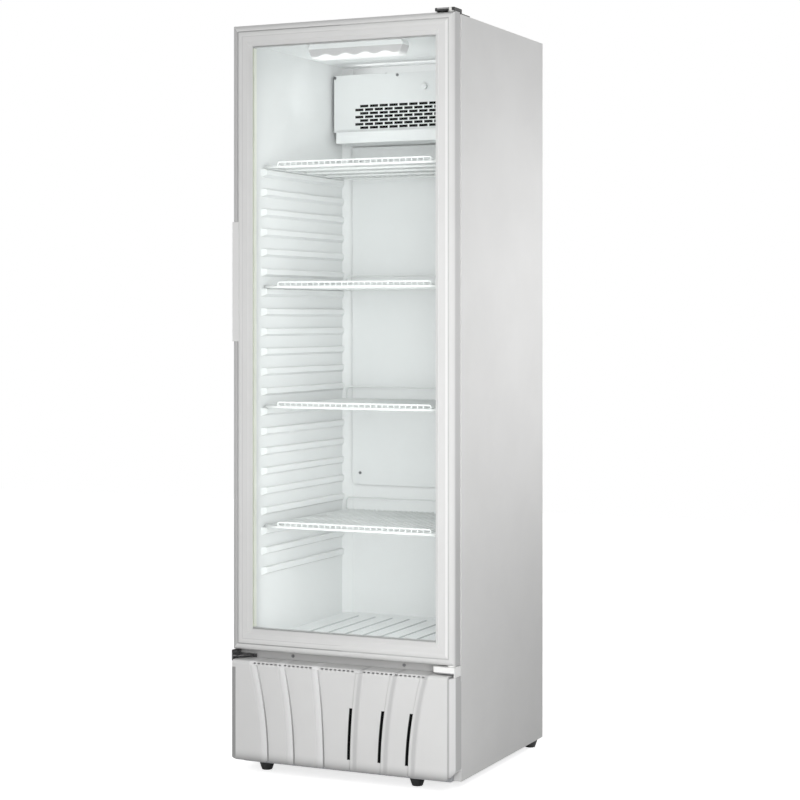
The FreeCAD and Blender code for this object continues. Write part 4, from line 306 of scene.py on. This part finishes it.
def cover_masks(group):
    """Edge: the shaded joint at the cover's left-hand edge. Rims: shade in and round the air slots.

    row = (z - first row) / row pitch, rounded. side, the distance to the nearest slot's middle, is
    a ping-pong of x, set off by half a pitch in the even rows.
    """
    x, _, z = parts_of(group, "Object")
    height = calc(group, "SUBTRACT", z, first_row)
    row = calc(group, "ROUND", calc(group, "DIVIDE", height, row_pitch))
    even = inverse(group, calc(group, "MODULO", row, 2.0))
    middle = calc(group, "MULTIPLY", row, row_pitch)
    up = calc(group, "ABSOLUTE", calc(group, "SUBTRACT", height, middle))
    half_pitch = air_slot_pitch / 2.0
    side = calc(group, "PINGPONG", calc(group, "MULTIPLY_ADD", even, half_pitch, x), half_pitch)
    end = calc(group, "MULTIPLY_ADD", even, -half_pitch, last_slot_end)
    half_height = air_slot_height / 2.0 + side_rim
    half_length = air_slot_length / 2.0 + end_rim
    rims = product(
        group,
        fall(group, up, half_height - rim_soft, half_height + rim_soft),
        fall(group, side, half_length - rim_soft, half_length + rim_soft),
        calc(group, "LESS_THAN", calc(group, "ABSOLUTE", x), end),
        pulse(group, row, -0.1, last_row_index + 0.1, 0.1),
    )
    return {"Edge": fall(group, x, *cover_joint_end), "Rims": rims}


put_masks(pale_sheet, "cover_marks", cover_masks,
          {"Edge": (0.30, 0.31, 0.32), "Rims": (0.012, 0.012, 0.012)})

# ---- Door frame ---------------------------------------------------------------------------------
# Four lengths of white coated extrusion, mitred at the corners, with a rounded outer bead, a
# groove and a bevel down to the glass.
frame_coat = finish("door_frame_coat", (0.72, 0.72, 0.715), (0.70, 0.70, 0.695), bump=0.00001,
                    strength=0.2, coat=0.15, **{"Grain Scale": 1300.0, "Wave Scale": 40.0,
                                                "Roughness": 0.3, "Roughness Change": 0.06})
dress(frame_coat, "door_stile_left", "door_stile_right", "door_rail_top", "door_rail_bottom")
frame_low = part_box("door_rail_bottom")[0]
frame_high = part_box("door_rail_top")[1]
# Distances from the frame's edge: start, end and soft width of a line, or the ends of a fade.
groove_line = (0.0150, 0.0168, 0.0007)
ridge_highlight_line = (0.0185, 0.0235, 0.001)
foot_line = (0.0278, 0.0284, 0.0008)
lip_line = (0.0514, 0.0530, 0.0005)
bead_end = (0.0138, 0.0152)
lit_bevel_start = (0.0405, 0.0425)


def frame_light_and_shade_masks(group):
    """Painted light and shade. Bevel: painted highlight on the right-hand bevel and ridge. Side:
    painted shade on the left-hand bead, which faces away from the light, and a darker tone on the
    right-hand side face. Groove: painted shade along the groove, the left-hand ridge's foot and the
    rails' inner edge.

    across and up are the distances to the nearest side and to the nearest end of the frame, and
    inset is the lesser of the two, so the lines meet at the mitres. The lines are pulses of them.
    """
    x, _, z = parts_of(group, "Object")
    across = calc(group, "SUBTRACT", frame_high[0], calc(group, "ABSOLUTE", x))
    up = calc(group, "MINIMUM", calc(group, "SUBTRACT", z, frame_low[2]),
              calc(group, "SUBTRACT", frame_high[2], z))
    inset = calc(group, "MINIMUM", across, up)
    right = right_half(group, x)
    left = inverse(group, right)
    stile = rise(group, calc(group, "SUBTRACT", up, across), -0.0006, 0.0006)
    groove = product(group, pulse(group, inset, *groove_line), weaker(group, right, 0.5))
    foot = product(group, 0.4, left, pulse(group, inset, *foot_line))
    lip = product(group, 0.35, inverse(group, stile), pulse(group, up, *lip_line))
    shaded_left_bead = product(group, fall(group, across, *bead_end), left)
    right_side = product(group, rise(group, parts_of(group, "Normal")["X"], 0.8, 1.0), right)
    ridge = product(group, 0.55, pulse(group, across, *ridge_highlight_line))
    bright = calc(group, "MAXIMUM", rise(group, across, *lit_bevel_start), ridge)
    return {
        "Bevel": product(group, stile, right, bright),
        "Side": product(group, stile, calc(group, "MAXIMUM", shaded_left_bead, right_side)),
        "Groove": calc(group, "MAXIMUM", calc(group, "MAXIMUM", groove, foot), lip),
    }


put_masks(frame_coat, "frame_painted_light_and_shade", frame_light_and_shade_masks,
          {"Bevel": (0.90, 0.90, 0.895), "Side": (0.51, 0.51, 0.51), "Groove": (0.42, 0.42, 0.42)})

# ---- Glass --------------------------------------------------------------------------------------
# Two panes of clear float glass round a sealed gap, kept apart by a bright spacer bar. The panes
# are coated against glare, which a low index stands for, and a lamp's light passes straight
# through.


def clear_glass(name, tint):
    """Glass with a faint film in its gloss, and see-through to shadow rays."""
    material = bpy.data.materials.new(name)
    material.use_nodes = True
    tree = material.node_tree
    skin = tree.nodes["Principled BSDF"]
    skin.inputs["Base Color"].default_value = (*tint, 1.0)
    skin.inputs["Transmission Weight"].default_value = 1.0
    skin.inputs["IOR"].default_value = 1.15
    place = node(tree, "ShaderNodeTexCoord")
    film = node(tree, "ShaderNodeTexNoise", inputs={"Scale": 7.0, "Detail": 3.0})
    gloss = node(tree, "ShaderNodeMapRange",
                 inputs={"From Min": 0.4, "From Max": 0.7, "To Min": 0.0, "To Max": 0.02})
    rays = node(tree, "ShaderNodeLightPath")
    through = node(tree, "ShaderNodeBsdfTransparent")
    through.inputs["Color"].default_value = (*tint, 1.0)
    both = node(tree, "ShaderNodeMixShader")
    link = tree.links.new
    link(place.outputs["Object"], film.inputs["Vector"])
    link(film.outputs["Fac"], gloss.inputs["Value"])
    link(gloss.outputs["Result"], skin.inputs["Roughness"])
    link(rays.outputs["Is Shadow Ray"], both.inputs["Fac"])
    link(skin.outputs["BSDF"], both.inputs[1])
    link(through.outputs["BSDF"], both.inputs[2])
    link(both.outputs["Shader"], tree.nodes["Material Output"].inputs["Surface"])
    return material


pane_glass = clear_glass("float_glass", (0.99, 0.997, 0.995))
dress(pane_glass, "glass_outer", "glass_inner")
spacer_metal = finish("spacer_bar", (0.90, 0.92, 0.84), (0.86, 0.88, 0.80),
                      **{"Grain Scale": 2000.0, "Roughness": 0.35})
dress(spacer_metal, "glass_spacer")
spacer_low, spacer_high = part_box("glass_spacer")
lower_run_end = (spacer_low[2] + 0.0125, spacer_low[2] + 0.0130)
upper_run_start = (spacer_high[2] - 0.0130, spacer_high[2] - 0.0125)


def spacer_masks(group):
    """Level: the spacer's two level runs, which lie in the shade of the rails."""
    z = parts_of(group, "Object")["Z"]
    low, high = fall(group, z, *lower_run_end), rise(group, z, *upper_run_start)
    return {"Level": calc(group, "MAXIMUM", low, high)}


put_masks(spacer_metal, "spacer_marks", spacer_masks, {"Level": (0.60, 0.60, 0.60)})

# ---- Gasket -------------------------------------------------------------------------------------
# Soft white magnetic seal, pressed into the back of the door frame.
seal = finish("soft_seal", (0.80, 0.805, 0.80), (0.77, 0.775, 0.77), bump=0.0001, strength=0.3,
              **{"Grain Scale": 600.0, "Roughness": 0.6})
dress(seal, "door_gasket")

# ---- Handle -------------------------------------------------------------------------------------
# Moulded grip let into the left stile, a shade whiter than the frame.
grip_plastic = finish("grip_plastic", (0.75, 0.75, 0.745), (0.73, 0.73, 0.725), bump=0.00005,
                      strength=0.3, **{"Grain Scale": 2600.0, "Wave": 0.2, "Roughness": 0.4})
dress(grip_plastic, "door_handle")

# ---- Hinges -------------------------------------------------------------------------------------
# The top bracket is black, under a black cap whose upper half is painted grey as light on its top.
# The lower plates are zinc-plated steel with nylon bearings, and the spare one waits at the left.
black_coat = finish("black_coat", (0.018, 0.018, 0.019), (0.03, 0.03, 0.03), bump=0.00004,
                    strength=0.3, **{"Grain Scale": 1600.0, "Roughness": 0.42})
dress(black_coat, "top_hinge_bracket")
cap_coat = finish("hinge_cap_plastic", (0.018, 0.018, 0.019), (0.03, 0.03, 0.03), bump=0.00004,
                  strength=0.3, **{"Grain Scale": 1600.0, "Roughness": 0.36})
dress(cap_coat, "top_hinge_cover")
cap_low, cap_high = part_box("top_hinge_cover")
lit_top_bottom = (cap_low[2] + 0.0038, cap_low[2] + 0.0052)
lit_top_start = (cap_low[0] + 0.004, cap_low[0] + 0.006)
lit_top_end = (cap_high[0] - 0.0155, cap_high[0] - 0.0145)
pin_sleeve = (cap_high[0] - 0.0135, cap_high[0] - 0.0075, 0.001)


def cap_masks(group):
    """Upper: painted light on the cap's upper half, left of the pin. Sleeve: the pin's white
    sleeve.
    """
    x, _, z = parts_of(group, "Object")
    upper = product(group, rise(group, z, *lit_top_bottom), fall(group, x, *lit_top_end),
                    rise(group, x, *lit_top_start))
    return {"Upper": upper, "Sleeve": pulse(group, x, *pin_sleeve)}


put_masks(cap_coat, "cap_sleeve_and_lit_top", cap_masks,
          {"Upper": (0.36, 0.36, 0.36), "Sleeve": (0.80, 0.80, 0.78)})
plated = finish("zinc_plated_steel", (0.30, 0.30, 0.31), (0.22, 0.22, 0.23), metallic=0.9,
                **{"Grain Scale": 900.0, "Roughness": 0.32, "Roughness Change": 0.15})
dress(plated, "hinge_pins", "screws")
# The bottom plate and the spare are lit and shaded copies of one zinc plate: painted light and
# shade. The spare's strong patches are painted highlights.
lit_zinc = finish("lit_zinc_plate", (0.50, 0.50, 0.51), (0.38, 0.38, 0.39), metallic=0.6,
                   **{"Grain Scale": 900.0, "Mark Scale": 90.0, "Roughness": 0.34,
                      "Roughness Change": 0.15})
dress(lit_zinc, "bottom_hinge_bracket")
shaded_zinc = finish("shaded_zinc_plate", (0.24, 0.24, 0.245), (0.015, 0.015, 0.017), metallic=0.3,
                   **{"Grain Scale": 900.0, "Mark Scale": 85.0, "Roughness": 0.26,
                      "Roughness Change": 0.15})
dress(shaded_zinc, "spare_hinge_bracket")
nylon = finish("white_nylon", (0.93, 0.93, 0.92), (0.90, 0.90, 0.89), bump=0.00005,
               **{"Grain Scale": 900.0, "Roughness": 0.45})
dress(nylon, "bottom_hinge_block", "door_bushes")

# ---- Kick panel and crossmember -----------------------------------------------------------------
# The kick panel is one white moulding with six raised bands that swing in towards the floor.
# Behind its top edge runs a painted steel channel.
kick_plastic = finish("kick_plastic", (0.71, 0.71, 0.705), (0.69, 0.69, 0.685), bump=0.00006,
                      strength=0.25, **{"Grain Scale": 1500.0, "Wave Scale": 50.0,
                                        "Roughness": 0.38, "Roughness Change": 0.06})
dress(kick_plastic, "kick_panel")
# The channel's coat is a darker copy of the panels' powder coat: painted shade under the door.
shaded_channel_coat = finish("shaded_channel_powder_coat", (0.62, 0.62, 0.615), (0.60, 0.60, 0.595),
                      bump=0.00003, strength=0.25,
                      **{"Grain Scale": 1400.0, "Wave Scale": 220.0, "Roughness": 0.4})
dress(shaded_channel_coat, "front_crossmember")
kick_low, kick_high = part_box("kick_panel")
band_places = ((0.231, 0.199), (0.153, 0.127), (0.062, 0.046))  # band's middle, top and bottom
band_half_width = 0.010
band_rise = 0.004
band_top = kick_high[2] - 0.008
kick_fold = 0.290
slot_top = kick_high[2] - 0.0935
slot_height = 0.1245
slot_width = 0.008
slot_offset = 0.0001  # from a slot's right-hand wall to its band
# Distances past a band's inner edge: start, end and soft width of each stroke of painted light
# and shade.
shaded_step_stroke = (-0.0012, 0.0002, 0.0006)
lit_band_stroke = (0.0006, 0.0170, 0.0055)
shaded_slope_stroke = (0.0105, 0.0140, 0.0065)
shaded_mouth_stroke = (-0.0092, -0.0079, 0.0003)
# The ends of the fades at the panel's sides, folds and lower edge, most of them painted light and
# shade.
side_start = (kick_high[0] - 0.0014, kick_high[0] - 0.0004)
lit_flank_start = (kick_fold + 0.0006, kick_fold + 0.0012)
shaded_strip_start = (kick_fold - 0.0102, kick_fold - 0.0092)
shaded_strip_top = (kick_high[2] - 0.018, kick_high[2] - 0.016)
under_shade_height = 0.028


def band_light_and_shade_masks(group):
    """Painted light and shade on the bands and the panel's ends; past is the distance beyond a
    band's inner edge.

    edge = bottom + (top - bottom) * share squared - half a band, share being the height up the
    panel. Foot is painted shade at the step, Light painted light on the left-hand bands, Shade
    painted shade on the slope of the right-hand ones, Under painted shade towards the lower edge
    and Mouth painted shade round the air slots. Right Flank is painted light on the right-hand
    flank, Fold painted shade along the fold and Left Edge painted shade on the left-hand end, which
    faces away from the light. Side darkens the right-hand side face.
    """
    x, _, z = parts_of(group, "Object")
    level = calc(group, "SUBTRACT", z, kick_low[2])
    share = calc(group, "DIVIDE", level, band_top - kick_low[2])
    square = calc(group, "MULTIPLY", share, share)
    across = calc(group, "ABSOLUTE", x)
    right = right_half(group, x)
    left = inverse(group, right)
    foot = light = shade = mouth = 0.0
    for top, bottom in band_places:
        edge = calc(group, "MULTIPLY_ADD", square, top - bottom, bottom - band_half_width)
        past = calc(group, "SUBTRACT", across, edge)
        foot = calc(group, "MAXIMUM", foot, pulse(group, past, *shaded_step_stroke))
        light = calc(group, "MAXIMUM", light, pulse(group, past, *lit_band_stroke))
        shade = calc(group, "MAXIMUM", shade, pulse(group, past, *shaded_slope_stroke))
        mouth = calc(group, "MAXIMUM", mouth, pulse(group, past, *shaded_mouth_stroke))
    under = calc(group, "MAXIMUM", inverse(group, calc(group, "DIVIDE", level, under_shade_height)), 0.0)
    flank, strip = rise(group, across, *lit_flank_start), rise(group, across, *shaded_strip_start)
    beside_slots = pulse(group, z, slot_top - slot_height, slot_top, 0.0004)
    return {
        "Light": product(group, light, left),
        "Shade": product(group, shade, right),
        "Right Flank": product(group, flank, right),
        "Side": rise(group, x, *side_start),
        "Fold": pulse(group, x, kick_fold - 0.0006, kick_fold + 0.0012, 0.0012),
        "Under": product(group, under, under),
        "Left Edge": product(group, strip, left, fall(group, z, *shaded_strip_top)),
        "Foot": product(group, foot, weaker(group, square, 0.75), weaker(group, right, 0.35)),
        "Mouth": product(group, mouth, right, beside_slots),
    }


# Tones of the painted light and shade on the kick panel; Side is the darker right-hand side face.
band_light_and_shade_tones = {"Light": 0.80, "Shade": 0.55, "Right Flank": 0.86, "Side": 0.54, "Fold": 0.55,
              "Under": 0.26, "Left Edge": 0.32, "Foot": 0.38, "Mouth": 0.02}
put_masks(kick_plastic, "band_painted_light_and_shade", band_light_and_shade_masks,
          {label: (tone, tone, tone) for label, tone in band_light_and_shade_tones.items()})

# Black strips are pressed into the three air slots from behind: painted shade, standing for the
# shade inside the slots. Each strip has a rib that fills the slot and a flange that lies against
# the panel's inner face.
strip_gap = 0.00006
strip_flange = 0.003
slot_shade_black = finish("slot_shade_felt", (0.004, 0.004, 0.004), (0.008, 0.008, 0.008), bump=0.0002,
                    strength=0.6, **{"Grain Scale": 1800.0, "Wave Scale": 500.0, "Roughness": 0.95})
slot_shade_black.node_tree.nodes["Principled BSDF"].inputs["Specular IOR Level"].default_value = 0.0


def ring_skin(name, rings):
    """Closed skin over rings of points, rings[station, place], with a flat cap on each end ring."""
    count, places = rings.shape[:2]
    station, place = np.meshgrid(np.arange(count - 1), np.arange(places), indexing="ij")
    here = (station * places + place).ravel()
    beside = (station * places + (place + 1) % places).ravel()
    quads = np.stack([here, beside, beside + places, here + places], axis=1)
    caps = [list(range(places))[::-1], list(range((count - 1) * places, count * places))]
    mesh = bpy.data.meshes.new(name)
    mesh.from_pydata(rings.reshape(-1, 3).tolist(), [], quads.tolist() + caps)
    piece = bpy.data.objects.new(name, mesh)
    bpy.context.scene.collection.objects.link(piece)
    return piece


def slot_shade_strip(name, top, bottom):
    """T profile carried down the slot, with its rib inside the slot's two walls at each station."""
    level = slot_top - np.linspace(0.0, slot_height, 6)
    share = (level - kick_low[2]) / (band_top - kick_low[2])
    inner = bottom + (top - bottom) * share ** 2 - band_half_width
    face = kick_low[1] + band_rise
    front, seat, back = face + 0.0001, face + 0.00256, face + 0.0036
    left, right = -slot_width + strip_gap, -slot_offset - strip_gap
    outer_left, outer_right = left - strip_flange, right + strip_flange
    across = np.array([left, right, right, outer_right, outer_right, outer_left, outer_left, left])
    depth = np.array([front, front, seat, seat, back, back, seat, seat])
    level[0] -= strip_gap
    level[-1] += strip_gap
    rings = np.empty((level.size, across.size, 3))
    rings[..., 0] = inner[:, None] + across[None, :]
    rings[..., 1] = depth[None, :]
    rings[..., 2] = level[:, None]
    return ring_skin(name, rings)


for place, (top, bottom) in enumerate(band_places):
    felt = slot_shade_strip(f"slot_shade_strip_{place + 1}", top, bottom)
    felt.data.materials.append(slot_shade_black)
    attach(felt, "cabinet")

# ---- Shelves ------------------------------------------------------------------------------------
# Welded steel wire dipped in white plastic powder.
wire_coat = finish("white_wire_coat", (0.68, 0.695, 0.69), (0.65, 0.665, 0.66), bump=0.00004,
                   strength=0.3, **{"Grain Scale": 800.0, "Roughness": 0.35})
dress(wire_coat, "shelf_1", "shelf_2", "shelf_3", "shelf_4")

# ---- Lamp ---------------------------------------------------------------------------------------
# White housing under the ceiling, a frosted cover and a strip with four light-emitting diodes,
# whose light shows as a white glow in the lower part of the cover.
lens_low, lens_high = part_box("lamp_lens")
diode_pitch = 0.054
glow_height, glow_wave = 0.0050, 0.0030
glow_fade = (-0.0040, 0.0050)
lens_end = (lens_high[0] - 0.022, lens_high[0] - 0.002)
lens_plastic = finish("frosted_lens", (0.60, 0.585, 0.59), (0.58, 0.57, 0.575), bump=0.00004,
                      strength=0.2, **{"Grain Scale": 1500.0, "Wave": 0.2, "Roughness": 0.55})


def lens_glow_group():
    """Glow in the lower part of the lens, which bulges upwards in front of each diode.

    edge = glow height + glow wave * cosine of the turn from one diode to the next, above the
    lens's lower face.
    """
    group, _, out = effect_group("lens_glow", {},
                                 {"Glow": "NodeSocketFloat", "Colour": "NodeSocketColor"})
    x, _, z = parts_of(group, "Object")
    turn = calc(group, "MULTIPLY", calc(group, "SUBTRACT", x, diode_pitch / 2.0),
                2.0 * math.pi / diode_pitch)
    edge = calc(group, "MULTIPLY_ADD", calc(group, "COSINE", turn), glow_wave,
                lens_low[2] + glow_height)
    ends = rise(group, calc(group, "ABSOLUTE", x), *lens_end)
    glow = product(group, fall(group, calc(group, "SUBTRACT", z, edge), *glow_fade),
                   weaker(group, ends, 0.7))
    tone = node(group, "ShaderNodeMix", data_type="RGBA")
    tone.inputs["A"].default_value = (0.0, 0.0, 0.0, 1.0)
    tone.inputs["B"].default_value = (1.0, 1.0, 1.0, 1.0)
    group.links.new(glow, tone.inputs["Factor"])
    group.links.new(glow, out.inputs["Glow"])
    group.links.new(tone.outputs["Result"], out.inputs["Colour"])
    return group


glow_marks = node(lens_plastic.node_tree, "ShaderNodeGroup", node_tree=lens_glow_group())
lay_over(lens_plastic, glow_marks.outputs["Glow"], (0.9, 0.9, 0.9))
lens_skin = lens_plastic.node_tree.nodes["Principled BSDF"]
lens_skin.inputs["Emission Strength"].default_value = 0.4
lens_plastic.node_tree.links.new(glow_marks.outputs["Colour"], lens_skin.inputs["Emission Color"])
dress(lens_plastic, "lamp_lens")
lamp_white = finish("lamp_white", (0.82, 0.83, 0.83), (0.80, 0.81, 0.81), **{"Roughness": 0.4})
dress(lamp_white, "lamp_housing")
board_white = finish("lamp_board_white", (0.80, 0.83, 0.84), (0.78, 0.81, 0.82),
                     **{"Roughness": 0.35})
dress(board_white, "lamp_board")

# ---- Cold-air unit ------------------------------------------------------------------------------
# Behind the cover: a finned aluminium coil, a small fan on its motor, the thermostat and the tray
# that catches the defrost water.
fins = finish("aluminium_fins", (0.72, 0.73, 0.74), (0.62, 0.63, 0.64), metallic=0.9,
              **{"Grain Scale": 1800.0, "Roughness": 0.36})
dress(fins, "evaporator_coil", "condenser")
fan_black = finish("fan_black", (0.025, 0.025, 0.027), (0.035, 0.035, 0.037), bump=0.00005,
                   **{"Grain Scale": 1200.0, "Roughness": 0.4})
dress(fan_black, "evaporator_fan", "condenser_fan")
dark_plastic = finish("dark_grey_plastic", (0.05, 0.052, 0.055), (0.065, 0.067, 0.07), bump=0.00006,
                      **{"Grain Scale": 1500.0, "Roughness": 0.48})
dress(dark_plastic, "thermostat", "evaporator_fan_motor", "junction_box", "evaporating_tray")
tray_plastic = finish("tray_plastic", (0.78, 0.795, 0.795), (0.76, 0.775, 0.775), bump=0.00006,
                      **{"Grain Scale": 900.0, "Roughness": 0.38})
dress(tray_plastic, "drip_tray", "thermostat_knob", "drain_tube")

# A pleated black pad lies against the back of the cover, behind its slots: painted shade, standing
# for the shade behind the slots.
pad_low, pad_high = (-0.187, 0.17973, 1.626), (0.187, 0.1809, 1.694)
pleat_pitch, pleat_depth = 0.0044, 0.00045


def slot_shade_pad():
    """Block with a waved front: y = front + pleat depth * (1 - cosine of the turn along x) / 2."""
    x = np.linspace(pad_low[0], pad_high[0], 681)
    wave = pleat_depth * (1.0 - np.cos(2.0 * np.pi * (x - pad_low[0]) / pleat_pitch)) / 2.0
    rings = np.empty((x.size, 4, 3))
    rings[..., 0] = x[:, None]
    rings[:, 0, 1] = rings[:, 1, 1] = pad_low[1] + wave
    rings[:, 2, 1] = rings[:, 3, 1] = pad_high[1]
    rings[:, (0, 3), 2] = pad_low[2]
    rings[:, (1, 2), 2] = pad_high[2]
    return ring_skin("slot_shade_pad", rings)


pad = slot_shade_pad()
pad.data.materials.append(slot_shade_black)
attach(pad, "cabinet")

# ---- Machine compartment ------------------------------------------------------------------------
# A hermetic compressor on rubber mounts, the condenser with its fan in a black shroud, copper
# lines, the water tray and the connection box.
enamel = finish("compressor_enamel", (0.012, 0.012, 0.013), (0.02, 0.02, 0.021), coat=0.3,
                **{"Grain Scale": 700.0, "Wave Scale": 50.0, "Roughness": 0.3})
dress(enamel, "compressor", "condenser_fan_motor")
rubber = finish("black_rubber", (0.02, 0.02, 0.02), (0.03, 0.03, 0.03), **{"Roughness": 0.7})
dress(rubber, "compressor_mounts")
copper = finish("bare_copper", (0.80, 0.42, 0.27), (0.55, 0.27, 0.17), metallic=1.0,
                **{"Grain Scale": 500.0, "Mark Scale": 20.0, "Roughness": 0.25,
                   "Roughness Change": 0.2})
dress(copper, "refrigerant_lines")

# ---- Feet ---------------------------------------------------------------------------------------
# Dark grey moulded feet on threaded studs.
foot_plastic = finish("foot_plastic", (0.035, 0.036, 0.038), (0.05, 0.051, 0.053), bump=0.00003,
                      coat=0.6, **{"Grain Scale": 1500.0, "Roughness": 0.3})
dress(foot_plastic, "foot_front_left", "foot_front_right", "foot_rear_left", "foot_rear_right")

# ---- Studio -------------------------------------------------------------------------------------
# Plain pale floor, soft lamps and the camera. The world and the floor are white for the camera.
# The light that the world gives fades from the left to the right, and the lamps add the rest.


def area_lamp(name, place, aim, width, height, power, colour=(1.0, 1.0, 1.0)):
    """Rectangular soft lamp at a place, turned towards a point."""
    data = bpy.data.lights.new(name, "AREA")
    data.shape = "RECTANGLE"
    data.size = width
    data.size_y = height
    data.energy = power
    data.color = colour
    lamp = bpy.data.objects.new(name, data)
    bpy.context.scene.collection.objects.link(lamp)
    lamp.location = place
    lamp.rotation_euler = (Vector(aim) - Vector(place)).to_track_quat("-Z", "Y").to_euler()
    lamp.visible_camera = False
    lamp.visible_transmission = False
    lamp.visible_glossy = False
    return lamp


area_lamp("lamp_front", (1.15, -1.75, 1.05), (0.15, -0.35, 1.0), 0.7, 1.6, 25.8)
area_lamp("lamp_left", (-0.9, -2.2, 1.2), (0.0, -0.3, 1.0), 0.8, 1.6, 4.4)
area_lamp("lamp_side", (1.25, 0.4, 1.25), (0.3, 0.1, 1.2), 0.4, 0.6, 6.9)
area_lamp("cabinet_lamp", (0.0, -0.187, 1.76), (0.0, 0.05, 0.9), 0.22, 0.03, 0.24)
area_lamp("cabinet_fill", (0.0, -0.235, 0.92), (0.0, 0.2, 0.92), 0.44, 1.3, 1.48)
area_lamp("cabinet_top", (0.0, -0.05, 1.66), (0.0, 0.25, 1.80), 0.44, 0.05, 0.085)
area_lamp("cabinet_rear", (0.0, 0.20, 1.7775), (0.0, 0.245, 1.80), 0.44, 0.012, 0.09)

world = bpy.data.worlds.new("studio_world")
world.use_nodes = True
bpy.context.scene.world = world
sky = world.node_tree
back = sky.nodes["Background"]
back.inputs["Color"].default_value = (1.0, 1.0, 1.0, 1.0)
rays = node(sky, "ShaderNodeLightPath").outputs
seen = calc(sky, "MAXIMUM", rays["Is Camera Ray"], rays["Is Glossy Ray"])
seen = calc(sky, "MAXIMUM", seen, rays["Is Transmission Ray"])
level = node(sky, "ShaderNodeMapRange", inputs={"To Max": 1.0})
fade = node(sky, "ShaderNodeMapRange",
            inputs={"From Min": -0.5, "From Max": 0.5, "To Min": 0.75, "To Max": 0.0})
sky.links.new(parts_of(sky, "Generated")["X"], fade.inputs["Value"])
sky.links.new(fade.outputs["Result"], level.inputs["To Min"])
sky.links.new(seen, level.inputs["Value"])
sky.links.new(level.outputs["Result"], back.inputs["Strength"])

count = 13
span = np.linspace(-6.0, 6.0, count)
across, along = np.meshgrid(span, span, indexing="ij")
points = np.stack([across.ravel(), along.ravel(), np.zeros(across.size)], axis=1)
cell = np.arange(count - 1)
first = (cell[:, None] * count + cell[None, :]).ravel()
quads = np.stack([first, first + count, first + count + 1, first + 1], axis=1)
sheet = bpy.data.meshes.new("floor")
sheet.from_pydata(points.tolist(), [], quads.tolist())
floor = bpy.data.objects.new("floor", sheet)
bpy.context.scene.collection.objects.link(floor)
floor_white = bpy.data.materials.new("floor_white")
floor_white.use_nodes = True
tree = floor_white.node_tree
skin = tree.nodes["Principled BSDF"]
skin.inputs["Base Color"].default_value = (0.8, 0.8, 0.8, 1.0)
skin.inputs["Roughness"].default_value = 0.9
skin.inputs["Specular IOR Level"].default_value = 0.1
rays = node(tree, "ShaderNodeLightPath").outputs
seen = calc(tree, "MAXIMUM", rays["Is Camera Ray"], rays["Is Transmission Ray"])
skin.inputs["Emission Color"].default_value = (1.0, 1.0, 1.0, 1.0)
tree.links.new(calc(tree, "MULTIPLY", seen, 0.75), skin.inputs["Emission Strength"])
sheet.materials.append(floor_white)

camera_data = bpy.data.cameras.new("camera")
camera_data.lens = 87.99
camera_data.sensor_width = 36.0
camera_data.shift_y = -0.1038
camera = bpy.data.objects.new("camera", camera_data)
bpy.context.scene.collection.objects.link(camera)
camera.location = (2.1056, -4.5287, 1.1255)
camera.rotation_euler = (math.radians(90.0), 0.0, math.radians(24.643))
bpy.context.scene.camera = camera
bpy.context.scene.view_settings.view_transform = "Standard"
